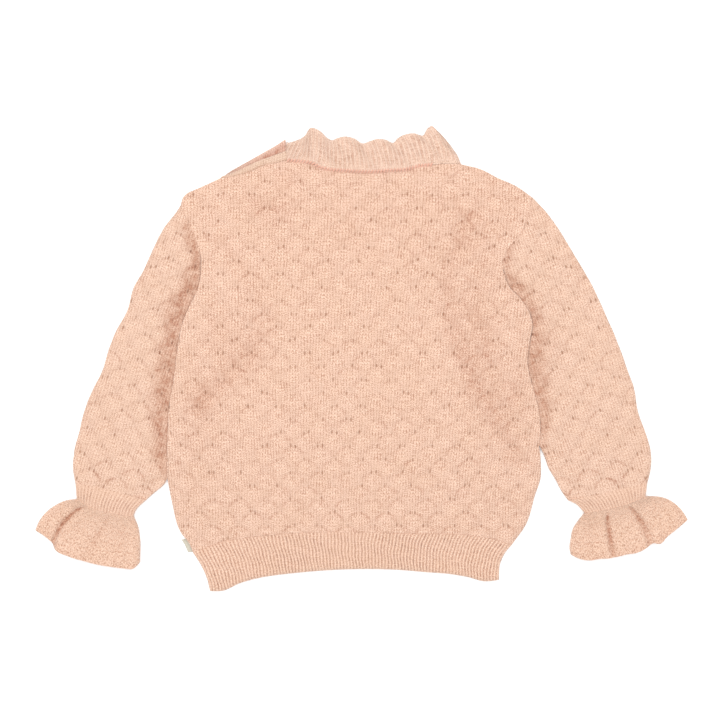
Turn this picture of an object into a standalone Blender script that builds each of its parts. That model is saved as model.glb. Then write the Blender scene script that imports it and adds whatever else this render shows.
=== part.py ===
"""An openwork baby pullover with ruffled cuffs, laid flat on its front and seen from its back.

Frame: +X to the right, +Y towards the collar, +Z up from the surface that the pullover lies on. The
origin is on that surface, under the middle of the outline. Every size below is in millimetres, and
meshes are made in metres. The wearer's left is at -X, where the shoulder opens.
"""

import math
from collections import namedtuple

import bmesh
import bpy
import numpy as np

MM = 0.001
NAME = "openwork_pullover"

# ---------------------------------------------------------------- driving dimensions
SEAM_GAP = 0.3  # between pieces that are sewn together
LYING_GAP = 0.8  # between a sleeve and the side that it lies along
UNDER_WALL = 2.0  # a flat layer that rests on the surface
UPPER_FLOOR = UNDER_WALL + SEAM_GAP  # where an upper layer's inner side starts
UPPER_WALL = 1.5  # an upper layer between its bubbles
RIM_WALL = 1.0  # an upper layer where its edge turns under
LOFT = 1.2  # how far the upper layer stands off the lower one
EDGE_ROLL = 6.0  # how far in from a side the edge starts to turn under
END_ROLL = 3.0  # the same at a seam across the knitting
END_SHARE = 0.6  # how much of its height the layer keeps there

BUBBLE_HEIGHT = 1.7
BUBBLE_ROW = 9.65  # from one row of bubbles to the next, which is set half a bubble aside
BUBBLE_TOP_ROW = 109.8  # a row of bubble tips, on which the middle column has one
BUBBLE_BLUNTNESS = 0.7  # below 1, the bubbles are flatter on top and steeper at their edges
# The middle column's x and the bubbles' width, at each of these heights on the plan.
BUBBLE_FAN_Y = (-103.0, 15.0, 110.0)
BUBBLE_FAN_MIDDLE = (-11.0, -7.3, -1.5)
BUBBLE_FAN_WIDTH = (19.4, 21.2, 22.3)
SLEEVE_BUBBLE = 20.5
RIB = 4.75  # one wale up and one down, in the hem and the cuffs
RIB_HEIGHT = 0.9
COLLAR_RIB = 3.1
COLLAR_RIB_HEIGHT = 0.6

SLEEVE_FOLD_RADIUS = 2.7  # half of a pressed sleeve's height at its folds
SLEEVE_SLUMP = 1.8  # how far a sleeve's top sinks where it tucks against the body
SLUMP_REACH = 17.0
SLEEVE_LEAN = math.radians(17)  # a sleeve's length against the body's
CUFF_FOLD_RADIUS = 2.5
RUFFLE_FOLD_RADIUS = 2.0
RUFFLE_RISE = 2.7  # how far a ruffle's waves stand up at its free edge
RUFFLE_SIDE_SHARE = 0.12  # of a ruffle's width, over which its waves die out at a side
PLACKET_LOFT = 0.4
LABEL_WIDTH = 3.6
LABEL_THICKNESS = 1.0
LABEL_DROP = 0.6  # how far its outer edge hangs down
LABEL_SHARES = (0.01, 0.07, 0.13, 0.19)  # of the way up the side from the hem, to its rows

# ---------------------------------------------------------------- grids
TOLERANCE = 1e-5  # between two points of a unit grid that are one
PANEL_COLUMNS = 48
PANEL_ROWS = 52
PANEL_COARSE = 4
BAND_ROWS = 4
BAND_COARSE = 4
FRONT_COLLAR_COLUMNS = 40
PLACKET_COLUMNS = 12
PLACKET_COARSE = 2
TUBE_COARSE = 2
FOLD_STEPS = 2
SLEEVE_ROWS = 38
CUFF_ROWS = 2
CUFF_LOW_COLUMNS = 6
RUFFLE_ROWS = 6
SIDE_STEP = 1.2  # the outermost column's width, where the edge turns most
END_STEP = 1.0
END_REACH = 3.6  # the outermost two rows' length together
SMOOTH_ANGLE = math.radians(50)

# ---------------------------------------------------------------- plan: x, y of each edge
PLAN_MIDDLE = (0.35, 0.37)  # the middle of the whole outline
# An edge's ends are corners, which it shares with its neighbours.
LEFT_SIDE_FREE = (
    (-122.6, -141.3), (-126.1, -133.6), (-131.0, -127.4), (-138.0, -104.4), (-141.3, -86.9),
)  # fmt: skip
LEFT_SIDE = (
    (-141.3, -86.9), (-141.8, -74.0), (-141.3, -62.0), (-140.2, -36.5), (-136.5, -13.1),
    (-133.2, 12.4), (-130.3, 26.3), (-124.1, 40.9), (-119.0, 51.8), (-116.8, 63.5), (-116.8, 75.2),
)  # fmt: skip
LEFT_ARMHOLE = ((-116.8, 75.2), (-120.5, 87.6), (-124.1, 97.1), (-129.2, 105.8), (-131.4, 112.4))
LEFT_SHOULDER_TIP = ((-131.4, 112.4), (-130.2, 117.5), (-127.0, 121.2))
RIGHT_SIDE_FREE = (
    (110.2, -135.4), (120.5, -120.5), (127.0, -99.3), (131.0, -86.9), (131.0, -73.0),
    (129.8, -62.0),
)  # fmt: skip
RIGHT_SIDE = (
    (129.8, -62.0), (130.8, -52.6), (129.9, -38.0), (124.8, -18.2), (121.5, -2.2), (123.0, 13.0),
    (125.0, 24.8), (122.4, 35.0), (116.1, 44.5), (107.8, 53.3), (103.6, 65.0),
)  # fmt: skip
RIGHT_ARMHOLE = (
    (103.6, 65.0), (104.0, 73.0), (107.7, 81.0), (113.6, 88.3), (118.3, 94.9), (121.9, 105.8),
    (125.0, 118.0),
)  # fmt: skip

HEM_TOP = (
    (-122.6, -141.3), (-100.7, -133.6), (-65.7, -128.5), (-7.3, -126.3), (34.3, -127.5),
    (78.1, -128.7), (99.3, -132.1), (110.2, -135.4),
)  # fmt: skip
HEM_BOTTOM = (
    (-110.2, -169.4), (-100.7, -169.0), (-88.3, -163.5), (-75.2, -159.9), (-62.0, -157.7),
    (-48.9, -156.2), (-22.6, -154.0), (29.9, -154.0), (47.4, -155.5), (65.0, -156.9),
    (78.1, -159.1), (89.8, -162.1), (100.7, -161.3),
)  # fmt: skip
HEM_LEFT = ((-110.2, -169.4), (-112.4, -160.2), (-116.8, -150.5), (-122.6, -141.3))
HEM_RIGHT = ((100.7, -161.3), (101.5, -149.5), (105.1, -141.6), (110.2, -135.4))

SHOULDER_TO_OPENING = ((-127.0, 121.2), (-118.3, 124.8), (-111.7, 127.8), (-102.9, 131.8))
BACK_PLACKET_SEAM = (
    (-102.9, 131.8), (-94.9, 132.7), (-82.0, 136.2), (-71.3, 140.7), (-62.8, 142.7),
    (-54.0, 144.9),
)  # fmt: skip
BACK_NECK = (
    (-54.0, 144.9), (-43.4, 144.0), (-36.1, 142.9), (-29.5, 139.6), (-21.2, 138.0), (-10.2, 137.2),
    (6.6, 136.5), (23.4, 137.6), (33.3, 138.3), (40.1, 140.2), (50.8, 141.6), (61.3, 142.3),
    (73.0, 142.0),
)  # fmt: skip
RIGHT_SHOULDER = ((73.0, 142.0), (86.9, 138.7), (100.0, 132.1), (113.1, 126.3), (125.0, 118.0))
FRONT_PLACKET_SEAM = (
    (-102.9, 131.8), (-97.1, 133.2), (-83.2, 138.0), (-71.5, 143.1), (-59.1, 148.6),
    (-54.0, 150.7),
)  # fmt: skip
FRONT_NECK = (
    (-54.0, 150.7), (-50.5, 143.0), (-44.5, 137.0), (-34.0, 129.8), (-19.0, 124.8), (6.6, 122.4),
    (32.1, 124.8), (50.0, 130.0), (62.0, 136.5), (73.0, 142.0),
)  # fmt: skip

BACK_PLACKET_TOP = (
    (-101.8, 133.2), (-88.3, 138.3), (-76.9, 143.8), (-65.7, 147.9), (-54.4, 152.2),
)  # fmt: skip
FRONT_PLACKET_TOP = (
    (-94.9, 137.6), (-82.5, 144.5), (-70.8, 151.1), (-60.1, 157.3), (-55.3, 160.6),
)  # fmt: skip

BACK_COLLAR_TOP = (
    (-54.4, 157.5), (-48.9, 158.9), (-41.6, 162.4), (-36.5, 168.8), (-29.5, 166.1),
    (-24.5, 161.3), (-21.2, 159.7), (-17.2, 161.3), (-11.7, 162.4), (-5.1, 161.0),
    (1.5, 157.3), (6.6, 159.1), (11.7, 160.6), (18.3, 159.9), (23.4, 157.7), (27.0, 161.3),
    (30.3, 163.2), (38.5, 164.7), (45.3, 163.2), (48.2, 167.9), (51.5, 170.1), (54.8, 167.2),
    (58.3, 161.3),
)  # fmt: skip
BACK_COLLAR_LEFT = ((-54.0, 144.9), (-54.4, 152.2), (-54.4, 157.5))
BACK_COLLAR_RIGHT = ((73.0, 142.0), (70.6, 148.3), (67.2, 153.3), (63.1, 158.4), (58.3, 161.3))
FRONT_COLLAR_TOP = (
    (-54.4, 158.8), (-44.5, 152.5), (-22.6, 145.5), (6.6, 143.0), (35.8, 145.3), (50.0, 151.0),
    (58.3, 158.2),
)  # fmt: skip

LEFT_SLEEVE_OUTER = (
    (-208.3, -90.5), (-209.9, -81.0), (-208.8, -66.4), (-205.1, -51.8), (-201.5, -37.2),
    (-195.6, -22.6), (-188.3, -8.0), (-184.0, 6.6), (-178.1, 21.2), (-170.1, 35.8),
    (-166.4, 50.4), (-158.4, 65.0), (-151.8, 79.6), (-144.5, 94.2), (-133.6, 108.8),
    (-131.4, 112.4),
)  # fmt: skip
LEFT_SLEEVE_FREE = ((-156.9, -102.9), (-150.4, -97.1), (-143.8, -91.2), (-141.3, -86.9))
RIGHT_SLEEVE_OUTER = (
    (208.8, -90.3), (211.0, -81.0), (211.0, -66.4), (206.6, -51.8), (201.5, -37.2),
    (199.3, -22.6), (194.2, -8.0), (189.1, 6.6), (183.2, 21.2), (176.7, 35.8), (170.1, 50.4),
    (162.1, 65.0), (153.3, 79.6), (144.5, 94.2), (133.6, 108.8), (125.0, 118.0),
)  # fmt: skip
RIGHT_SLEEVE_FREE = (
    (151.1, -103.0), (146.0, -95.6), (142.3, -88.3), (137.2, -79.6), (134.3, -71.5),
    (129.8, -62.0),
)  # fmt: skip

LEFT_CUFF_TOP = ((-208.3, -90.5), (-190.5, -93.4), (-172.3, -98.5), (-156.9, -102.9))
LEFT_CUFF_BOTTOM = ((-207.3, -102.2), (-197.8, -108.0), (-183.2, -112.4), (-166.1, -114.6))
LEFT_CUFF_OUTER = ((-207.3, -102.2), (-208.3, -90.5))
LEFT_CUFF_INNER = ((-166.1, -114.6), (-164.8, -111.0), (-156.9, -102.9))
RIGHT_CUFF_TOP = ((208.8, -90.3), (189.1, -94.9), (170.0, -99.5), (151.1, -103.0))
RIGHT_CUFF_BOTTOM = ((207.5, -100.2), (193.5, -106.2), (178.5, -110.0), (163.2, -112.3))
RIGHT_CUFF_OUTER = ((207.5, -100.2), (208.8, -90.3))
RIGHT_CUFF_INNER = ((163.2, -112.3), (157.5, -106.2), (151.1, -103.0))

LEFT_RUFFLE_OUTER = (
    (-237.6, -124.8), (-234.3, -117.5), (-229.0, -111.0), (-223.7, -107.1), (-216.8, -103.7),
    (-207.3, -102.2),
)  # fmt: skip
LEFT_RUFFLE_EDGE = (
    (-237.6, -124.8), (-231.0, -128.5), (-225.7, -133.2), (-222.4, -139.1), (-212.7, -143.8),
    (-199.7, -147.8), (-186.6, -150.7), (-173.7, -152.4), (-165.7, -152.6), (-161.5, -148.5),
)  # fmt: skip
LEFT_RUFFLE_INNER = ((-161.5, -148.5), (-161.5, -130.6), (-162.8, -122.6), (-166.1, -114.6))
RIGHT_RUFFLE_OUTER = (
    (238.3, -117.0), (234.3, -110.7), (228.8, -105.3), (221.9, -101.5), (214.6, -100.3),
    (207.5, -100.2),
)  # fmt: skip
RIGHT_RUFFLE_EDGE = (
    (238.3, -117.0), (229.5, -124.1), (222.6, -129.7), (218.0, -134.5), (212.9, -134.3),
    (208.6, -137.2), (200.4, -141.2), (193.6, -142.2), (183.5, -144.9), (173.9, -145.6),
    (166.4, -146.7), (158.5, -145.2), (153.3, -142.8),
)  # fmt: skip
RIGHT_RUFFLE_INNER = (
    (153.3, -142.8), (152.4, -138.0), (153.1, -132.1), (154.8, -124.1), (158.4, -118.3),
    (163.2, -112.3),
)  # fmt: skip

# ---------------------------------------------------------------- folds, one row each
# A soft trough in the upper layer: where it starts and ends, how wide and how deep it is.
Trough = namedtuple("Trough", "x0 y0 x1 y1 width depth")
TROUGHS = (
    Trough(-70.0, 28.0, -78.0, 5.0, 9.0, 0.8),
    Trough(-78.0, 5.0, -97.0, -12.0, 9.0, 0.9),
    Trough(-97.0, -12.0, -116.0, -31.0, 8.0, 0.8),
    Trough(-103.0, 92.0, -72.0, 38.0, 6.0, 0.5),
    Trough(-76.0, 111.0, -56.0, 108.0, 9.0, 0.7),
    Trough(79.6, 104.4, 61.3, 62.0, 7.0, 0.6),
    Trough(61.3, 62.0, 63.0, 38.0, 7.0, 0.8),
    Trough(63.0, 38.0, 71.0, 8.0, 7.0, 0.9),
    Trough(71.0, 8.0, 82.0, -17.0, 8.0, 0.9),
    Trough(82.0, -17.0, 100.0, -44.0, 8.0, 0.9),
    Trough(100.0, -44.0, 114.0, -72.0, 8.0, 0.8),
)

# A sharp valley between two waves of a ruffle, by its share of the way across from the outer side.
Crease = namedtuple("Crease", "at_seam at_edge width depth")
LEFT_CREASES = (
    Crease(0.42, 0.21, 0.04, 1.0),
    Crease(0.62, 0.50, 0.06, 0.4),
    Crease(0.82, 0.76, 0.08, 0.3),
)
RIGHT_CREASES = (
    Crease(0.36, 0.35, 0.04, 0.9),
    Crease(0.65, 0.66, 0.04, 1.0),
    Crease(0.84, 0.84, 0.08, 0.3),
)

# ---------------------------------------------------------------- colours, as seen
BODY_COLOUR = (241, 202, 177)
SLEEVE_COLOUR = (241, 203, 179)
COLLAR_COLOUR = (242, 207, 185)
RIB_COLOUR = (237, 196, 171)
RUFFLE_COLOUR = (236, 199, 175)
LABEL_COLOUR = (229, 222, 203)
YARN_ROUGHNESS = 0.92


def smooth_line(table, steps=10):
    """Points along a smooth line through a table's spots."""
    knots = np.array(table, float)
    chords = np.hypot(*np.diff(knots, axis=0).T)
    slopes = np.gradient(knots, np.concatenate([[0.0], np.cumsum(chords)]), axis=0)
    s = np.linspace(0, 1, steps, endpoint=False)[:, None]
    spans = [
        (2 * s**3 - 3 * s**2 + 1) * knots[i]
        + (s**3 - 2 * s**2 + s) * chord * slopes[i]
        + (3 * s**2 - 2 * s**3) * knots[i + 1]
        + (s**3 - s**2) * chord * slopes[i + 1]
        for i, chord in enumerate(chords)
    ]
    return np.concatenate([*spans, knots[-1:]])


class Edge:
    """One or more smooth lines, end to end, read by the share of their length."""

    def __init__(self, *tables):
        lines = [smooth_line(table) for table in tables]
        self.spots = np.concatenate([lines[0], *(line[1:] for line in lines[1:])])
        lengths = np.hypot(*np.diff(self.spots, axis=0).T)
        self.shares = np.concatenate([[0.0], np.cumsum(lengths)]) / lengths.sum()

    def at(self, share):
        return np.array([np.interp(share, self.shares, self.spots[:, k]) for k in (0, 1)])


class Patch:
    """A piece's plan, blended from its four edges.

    near and far run across the piece, at its start and its end. left and right run along it, from near
    to far. A share across goes from left to right, and a share along from near to far.
    """

    def __init__(self, near, far, left, right, gap=SEAM_GAP):
        self.near, self.far, self.left, self.right = near, far, left, right
        self.gap = gap

    def plan(self, across, along):
        blend = (1 - along) * self.near.at(across) + along * self.far.at(across)
        blend += (1 - across) * self.left.at(along) + across * self.right.at(along)
        blend -= (1 - along) * ((1 - across) * self.near.at(0) + across * self.near.at(1))
        blend -= along * ((1 - across) * self.far.at(0) + across * self.far.at(1))
        return blend

    def width(self, along):
        return math.dist(self.plan(0, along), self.plan(1, along))

    def length(self, across):
        return math.dist(self.plan(across, 0), self.plan(across, 1))

    def cut(self, across, along):
        """The plan of the piece as cut: half a seam's gap inside the patch at the ends and sides."""
        aside = self.gap / 2 / self.width(along)
        behind = SEAM_GAP / 2 / self.length(across)
        return self.plan(aside + across * (1 - 2 * aside), behind + along * (1 - 2 * behind))


def reversed_table(table):
    return tuple(reversed(table))


# ---------------------------------------------------------------- knitted relief
def bubbles(columns, rows):
    """The height share of half-drop bubbles: 0 on the lines between them, and 1 on their crowns."""
    rising = math.sin(math.pi * (columns + rows / 2))
    falling = math.sin(math.pi * (columns - rows / 2))
    return abs(rising * falling) ** BUBBLE_BLUNTNESS


def body_bubbles(x, y):
    """Columns lean in a little towards the hem, where the ribbing gathers them."""
    middle = np.interp(y, BUBBLE_FAN_Y, BUBBLE_FAN_MIDDLE)
    pitch = np.interp(y, BUBBLE_FAN_Y, BUBBLE_FAN_WIDTH)
    return bubbles((x - middle) / pitch, (BUBBLE_TOP_ROW - y) / BUBBLE_ROW)


def sleeve_bubbles(x, y, side):
    """The same knitting, turned to a sleeve's own length. side is -1 on the left and 1 on the right."""
    out = side * x
    across = out * math.cos(SLEEVE_LEAN) + y * math.sin(SLEEVE_LEAN)
    down = out * math.sin(SLEEVE_LEAN) - y * math.cos(SLEEVE_LEAN)
    return bubbles(across / SLEEVE_BUBBLE, down / BUBBLE_ROW)


def rib_count(patch, pitch):
    """An even number of ribs, so that a coarser grid meets them."""
    return 2 * round(patch.width(0.5) / pitch / 2)


def ribs(across, count):
    return 0.5 - 0.5 * math.cos(2 * math.pi * across * count)


def quarter_round(distance, reach):
    """0 at an edge, and 1 from reach inwards, with the height of a quarter circle between."""
    return math.sqrt(1 - max(0.0, 1 - distance / reach) ** 2)


def trough_depth(x, y):
    depth = 0.0
    for row in TROUGHS:
        run = (row.x1 - row.x0, row.y1 - row.y0)
        share = ((x - row.x0) * run[0] + (y - row.y0) * run[1]) / (run[0] ** 2 + run[1] ** 2)
        share = min(1.0, max(0.0, share))
        away = math.hypot(x - row.x0 - share * run[0], y - row.y0 - share * run[1])
        depth = max(depth, row.depth * math.exp(-((away / row.width) ** 2)))
    return depth


# ---------------------------------------------------------------- walls
def add_skin(bm, columns, rows, side):
    """One side of a wall, as a grid whose vertices hold (share across, share along, side)."""
    verts = bmesh.ops.create_grid(bm, x_segments=columns, y_segments=rows, size=0.5)["verts"]
    bmesh.ops.translate(bm, verts=verts, vec=(0.5, 0.5, side))


def skin(bm, side):
    return [vert for vert in bm.verts if abs(vert.co.z - side) < 0.5]


def close_round(bm, side, rows):
    """Welds a skin's last column to its first, which makes it a tube."""
    verts = skin(bm, side)
    first = {round(vert.co.y * rows): vert for vert in verts if vert.co.x < TOLERANCE}
    last = [vert for vert in verts if vert.co.x > 1 - TOLERANCE]
    bmesh.ops.weld_verts(bm, targetmap={vert: first[round(vert.co.y * rows)] for vert in last})


def border(verts):
    return list({edge for vert in verts for edge in vert.link_edges if edge.is_boundary})


def is_end(edge):
    """Whether an edge of a unit skin lies along its near or far end, rather than its sides."""
    first, second = edge.verts
    return abs(first.co.y - second.co.y) < TOLERANCE


def wall(columns, rows, coarse, is_tube=False):
    """A fine outer skin (side 1) and a plain inner one (side 0), joined round their rims.

    The inner skin has one column and row for every coarse of the outer's, and its rim is divided to
    meet the outer's.
    """
    bm = bmesh.new()
    for side, divisor in ((1, 1), (0, coarse)):
        add_skin(bm, columns // divisor, rows // divisor, side)
        rim = [edge for edge in border(skin(bm, side)) if is_end(edge) or not is_tube]
        if divisor > 1:
            bmesh.ops.subdivide_edges(bm, edges=rim, cuts=divisor - 1, use_single_edge=True)
        if is_tube:
            close_round(bm, side, rows // divisor)
    rim = bmesh.ops.extrude_edge_only(bm, edges=border(skin(bm, 1)))["geom"]
    for vert in (part for part in rim if isinstance(part, bmesh.types.BMVert)):
        vert.co.z = 0
    bmesh.ops.remove_doubles(bm, verts=skin(bm, 0), dist=TOLERANCE)
    return bm


def shape(bm, outside, inside):
    """Moves a unit wall's vertices to their places, and turns millimetres into metres."""
    for vert in bm.verts:
        side = outside if vert.co.z > 0.5 else inside
        x, y, z = side(vert.co.x, vert.co.y)
        vert.co = ((x - PLAN_MIDDLE[0]) * MM, (y - PLAN_MIDDLE[1]) * MM, z * MM)
    bmesh.ops.recalc_face_normals(bm, faces=bm.faces)
    if bm.calc_volume(signed=True) < 0:
        bmesh.ops.reverse_faces(bm, faces=bm.faces)
    bmesh.ops.triangulate(bm, faces=bm.faces, quad_method="SHORT_EDGE", ngon_method="BEAUTY")


def linear(channel):
    share = channel / 255
    return share / 12.92 if share <= 0.04045 else ((share + 0.055) / 1.055) ** 2.4


def material(name, colour):
    made = bpy.data.materials.new(name)
    made.use_nodes = True
    shader = made.node_tree.nodes["Principled BSDF"]
    shader.inputs["Base Color"].default_value = (*map(linear, colour), 1)
    shader.inputs["Roughness"].default_value = YARN_ROUGHNESS
    shader.inputs["Metallic"].default_value = 0
    return made


def piece(name, bm, colour, collection):
    mesh = bpy.data.meshes.new(name)
    bm.to_mesh(mesh)
    bm.free()
    mesh.shade_smooth()
    mesh.set_sharp_from_angle(angle=SMOOTH_ANGLE)
    mesh.materials.append(material(name, colour))
    made = bpy.data.objects.new(name, mesh)
    collection.objects.link(made)
    return made


def crowded(share, count, size, first, second):
    """Moves the first two columns or rows at each edge of a layer to these distances from it."""
    near, next_one = first / size, second / size
    marks = (0, 1, 2, count - 2, count - 1, count)
    return float(np.interp(share * count, marks, (0, near, next_one, 1 - next_one, 1 - near, 1)))


def upper_layer(patch, columns, rows, coarse, relief, loft):
    """A layer that lies on another: raised outside, plain inside, and turned under along its sides."""
    width, length = patch.width(0.5), patch.length(0.5)

    def place(across, along):
        across = crowded(across, columns, width, SIDE_STEP, EDGE_ROLL)
        along = crowded(along, rows, length, END_STEP, END_REACH)
        x, y = patch.cut(across, along)
        side = quarter_round(min(across, 1 - across) * patch.width(along), EDGE_ROLL)
        end = quarter_round(min(along, 1 - along) * patch.length(across), END_ROLL)
        return x, y, side * (END_SHARE + (1 - END_SHARE) * end), across, along

    def outside(across, along):
        x, y, crown, across, along = place(across, along)
        height = loft(x, y) + UPPER_WALL - RIM_WALL + relief(x, y, across, along)
        return x, y, UPPER_FLOOR + RIM_WALL + crown * height

    def inside(across, along):
        x, y, crown, _, _ = place(across, along)
        return x, y, UPPER_FLOOR + crown * loft(x, y)

    bm = wall(columns, rows, coarse)
    shape(bm, outside, inside)
    return bm


def under_layer(patch, columns, rows):
    """A plain layer whose underside is flat on the surface."""
    width, length = patch.width(0.5), patch.length(0.5)

    def place(across, along, height):
        across = crowded(across, columns, width, SIDE_STEP, EDGE_ROLL)
        along = crowded(along, rows, length, END_STEP, END_REACH)
        return *patch.cut(across, along), height

    bm = wall(columns, rows, 1)
    shape(bm, lambda u, v: place(u, v, 0.0), lambda u, v: place(u, v, UNDER_WALL))
    return bm


# ---------------------------------------------------------------- pressed tubes
Girth = namedtuple("Girth", "top low")  # columns over the top layer and over the bottom one
SLEEVE_GIRTH = Girth(14, 8)
RUFFLE_GIRTH = Girth(28, 8)


def pressed_tube(patch, girth, rows, radius, lift):
    """A tube of cloth pressed flat: it rests on a flat bottom layer, and lift raises the top one.

    lift(across, along, x, y) gives how far the outer side and the inner side of the top layer go up.
    """
    columns = girth.top + girth.low + 2 * FOLD_STEPS
    marks = np.cumsum([0, girth.top, FOLD_STEPS, girth.low, FOLD_STEPS])

    def place(around, along, reach, which):
        across = float(np.interp(around * columns, marks, (-1, 1, 1, -1, -1)))
        angle = math.radians(np.interp(around * columns, marks, (90, 90, -90, -90, -270)))
        width = patch.width(along)
        offset = across * (width / 2 - radius) + reach * math.cos(angle)
        share = 0.5 + offset / width
        x, y = patch.cut(share, along)
        raised = max(0.0, math.sin(angle)) * lift(share, along, x, y)[which]
        return x, y, radius + reach * math.sin(angle) + raised

    bm = wall(columns, rows, TUBE_COARSE, is_tube=True)
    shape(
        bm,
        lambda u, v: place(u, v, radius, 0),
        lambda u, v: place(u, v, radius - UPPER_WALL, 1),
    )
    return bm


def slump(across, width):
    """How far a sleeve's top sinks towards its inner side, which lies against the body."""
    near = max(0.0, 1 - (1 - across) * width / SLUMP_REACH)
    return SLEEVE_SLUMP * near * near * (3 - 2 * near)


def sleeve(patch, side):
    def lift(across, along, x, y):
        sunk = slump(across, patch.width(along))
        return BUBBLE_HEIGHT * sleeve_bubbles(x, y, side) - sunk, -sunk

    return pressed_tube(patch, SLEEVE_GIRTH, SLEEVE_ROWS, SLEEVE_FOLD_RADIUS, lift)


def cuff(patch):
    count = rib_count(patch, RIB)

    def lift(across, along, x, y):
        return RIB_HEIGHT * ribs(across, count), 0.0

    return pressed_tube(patch, Girth(2 * count, CUFF_LOW_COLUMNS), CUFF_ROWS, CUFF_FOLD_RADIUS, lift)


def ruffle(patch, creases):
    """A flounce that stands in waves, which are parted by creases and grow towards its free edge."""

    def lift(across, along, x, y):
        free = 1 - along
        rise = 1.0
        for crease in creases:
            middle = crease.at_edge + (crease.at_seam - crease.at_edge) * along
            rise *= 1 - crease.depth * math.exp(-(((across - middle) / crease.width) ** 2))
        sides = quarter_round(min(across, 1 - across), RUFFLE_SIDE_SHARE)
        height = RUFFLE_RISE * rise * sides * math.sqrt(free)
        return height, height

    return pressed_tube(patch, RUFFLE_GIRTH, RUFFLE_ROWS, RUFFLE_FOLD_RADIUS, lift)


# ---------------------------------------------------------------- the garment
def flat_loft(x, y):
    return LOFT


def placket_loft(x, y):
    return PLACKET_LOFT


def body_loft(x, y):
    return LOFT - trough_depth(x, y)


def make_panels(collection):
    left = Edge(LEFT_SIDE_FREE, LEFT_SIDE, LEFT_ARMHOLE, LEFT_SHOULDER_TIP)
    right = Edge(RIGHT_SIDE_FREE, RIGHT_SIDE, RIGHT_ARMHOLE)
    back_top = Edge(SHOULDER_TO_OPENING, BACK_PLACKET_SEAM, BACK_NECK, RIGHT_SHOULDER)
    front_top = Edge(SHOULDER_TO_OPENING, FRONT_PLACKET_SEAM, FRONT_NECK, RIGHT_SHOULDER)
    back = Patch(Edge(HEM_TOP), back_top, left, right, LYING_GAP)
    front = Patch(Edge(HEM_TOP), front_top, left, right, LYING_GAP)

    def knitted(x, y, across, along):
        return BUBBLE_HEIGHT * body_bubbles(x, y)

    panel = upper_layer(back, PANEL_COLUMNS, PANEL_ROWS, PANEL_COARSE, knitted, body_loft)
    piece("back", panel, BODY_COLOUR, collection)
    piece("front", under_layer(front, PANEL_COLUMNS, PANEL_ROWS), BODY_COLOUR, collection)


def make_hem(collection):
    patch = Patch(Edge(HEM_BOTTOM), Edge(HEM_TOP), Edge(HEM_LEFT), Edge(HEM_RIGHT))
    count = rib_count(patch, RIB)

    def ribbed(x, y, across, along):
        return RIB_HEIGHT * ribs(across, count)

    band = upper_layer(patch, 2 * count, BAND_ROWS, BAND_COARSE, ribbed, flat_loft)
    piece("hem_band_back", band, RIB_COLOUR, collection)
    piece("hem_band_front", under_layer(patch, PANEL_COLUMNS, BAND_ROWS), RIB_COLOUR, collection)


def make_collar(collection):
    back = Patch(
        Edge(BACK_NECK), Edge(BACK_COLLAR_TOP), Edge(BACK_COLLAR_LEFT), Edge(BACK_COLLAR_RIGHT)
    )
    count = rib_count(back, COLLAR_RIB)

    def ribbed(x, y, across, along):
        return COLLAR_RIB_HEIGHT * ribs(across, count)

    band = upper_layer(back, 2 * count, BAND_ROWS, BAND_COARSE, ribbed, flat_loft)
    piece("collar_back", band, COLLAR_COLOUR, collection)

    front = Patch(
        Edge(FRONT_NECK),
        Edge(FRONT_COLLAR_TOP),
        Edge((FRONT_NECK[0], FRONT_COLLAR_TOP[0])),
        Edge((FRONT_NECK[-1], FRONT_COLLAR_TOP[-1])),
    )
    band = under_layer(front, FRONT_COLLAR_COLUMNS, BAND_ROWS)
    piece("collar_front", band, COLLAR_COLOUR, collection)


def make_plackets(collection):
    """The two edges of the shoulder opening. The front's reaches further out, under the back's."""
    back = Patch(
        Edge(BACK_PLACKET_SEAM),
        Edge(BACK_PLACKET_TOP),
        Edge((BACK_PLACKET_SEAM[0], BACK_PLACKET_TOP[0])),
        Edge((BACK_PLACKET_SEAM[-1], BACK_PLACKET_TOP[-1])),
    )
    front = Patch(
        Edge(FRONT_PLACKET_SEAM),
        Edge(FRONT_PLACKET_TOP),
        Edge((FRONT_PLACKET_SEAM[0], FRONT_PLACKET_TOP[0])),
        Edge((FRONT_PLACKET_SEAM[-1], FRONT_PLACKET_TOP[-1])),
    )

    def plain(x, y, across, along):
        return 0.0

    band = upper_layer(back, PLACKET_COLUMNS, BAND_ROWS, PLACKET_COARSE, plain, placket_loft)
    piece("placket_back", band, COLLAR_COLOUR, collection)
    piece("placket_front", under_layer(front, PLACKET_COLUMNS, BAND_ROWS), RIB_COLOUR, collection)


def make_sleeves(collection):
    left = Patch(
        Edge(LEFT_CUFF_TOP),
        Edge(reversed_table(LEFT_ARMHOLE)),
        Edge(LEFT_SLEEVE_OUTER),
        Edge(LEFT_SLEEVE_FREE, LEFT_SIDE),
        LYING_GAP,
    )
    right = Patch(
        Edge(RIGHT_CUFF_TOP),
        Edge(reversed_table(RIGHT_ARMHOLE)),
        Edge(RIGHT_SLEEVE_OUTER),
        Edge(RIGHT_SLEEVE_FREE, RIGHT_SIDE),
        LYING_GAP,
    )
    piece("sleeve_left", sleeve(left, -1), SLEEVE_COLOUR, collection)
    piece("sleeve_right", sleeve(right, 1), SLEEVE_COLOUR, collection)


def make_cuffs(collection):
    left = Patch(
        Edge(LEFT_CUFF_BOTTOM), Edge(LEFT_CUFF_TOP), Edge(LEFT_CUFF_OUTER), Edge(LEFT_CUFF_INNER)
    )
    right = Patch(
        Edge(RIGHT_CUFF_BOTTOM),
        Edge(RIGHT_CUFF_TOP),
        Edge(RIGHT_CUFF_OUTER),
        Edge(RIGHT_CUFF_INNER),
    )
    piece("cuff_left", cuff(left), RIB_COLOUR, collection)
    piece("cuff_right", cuff(right), RIB_COLOUR, collection)


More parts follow.
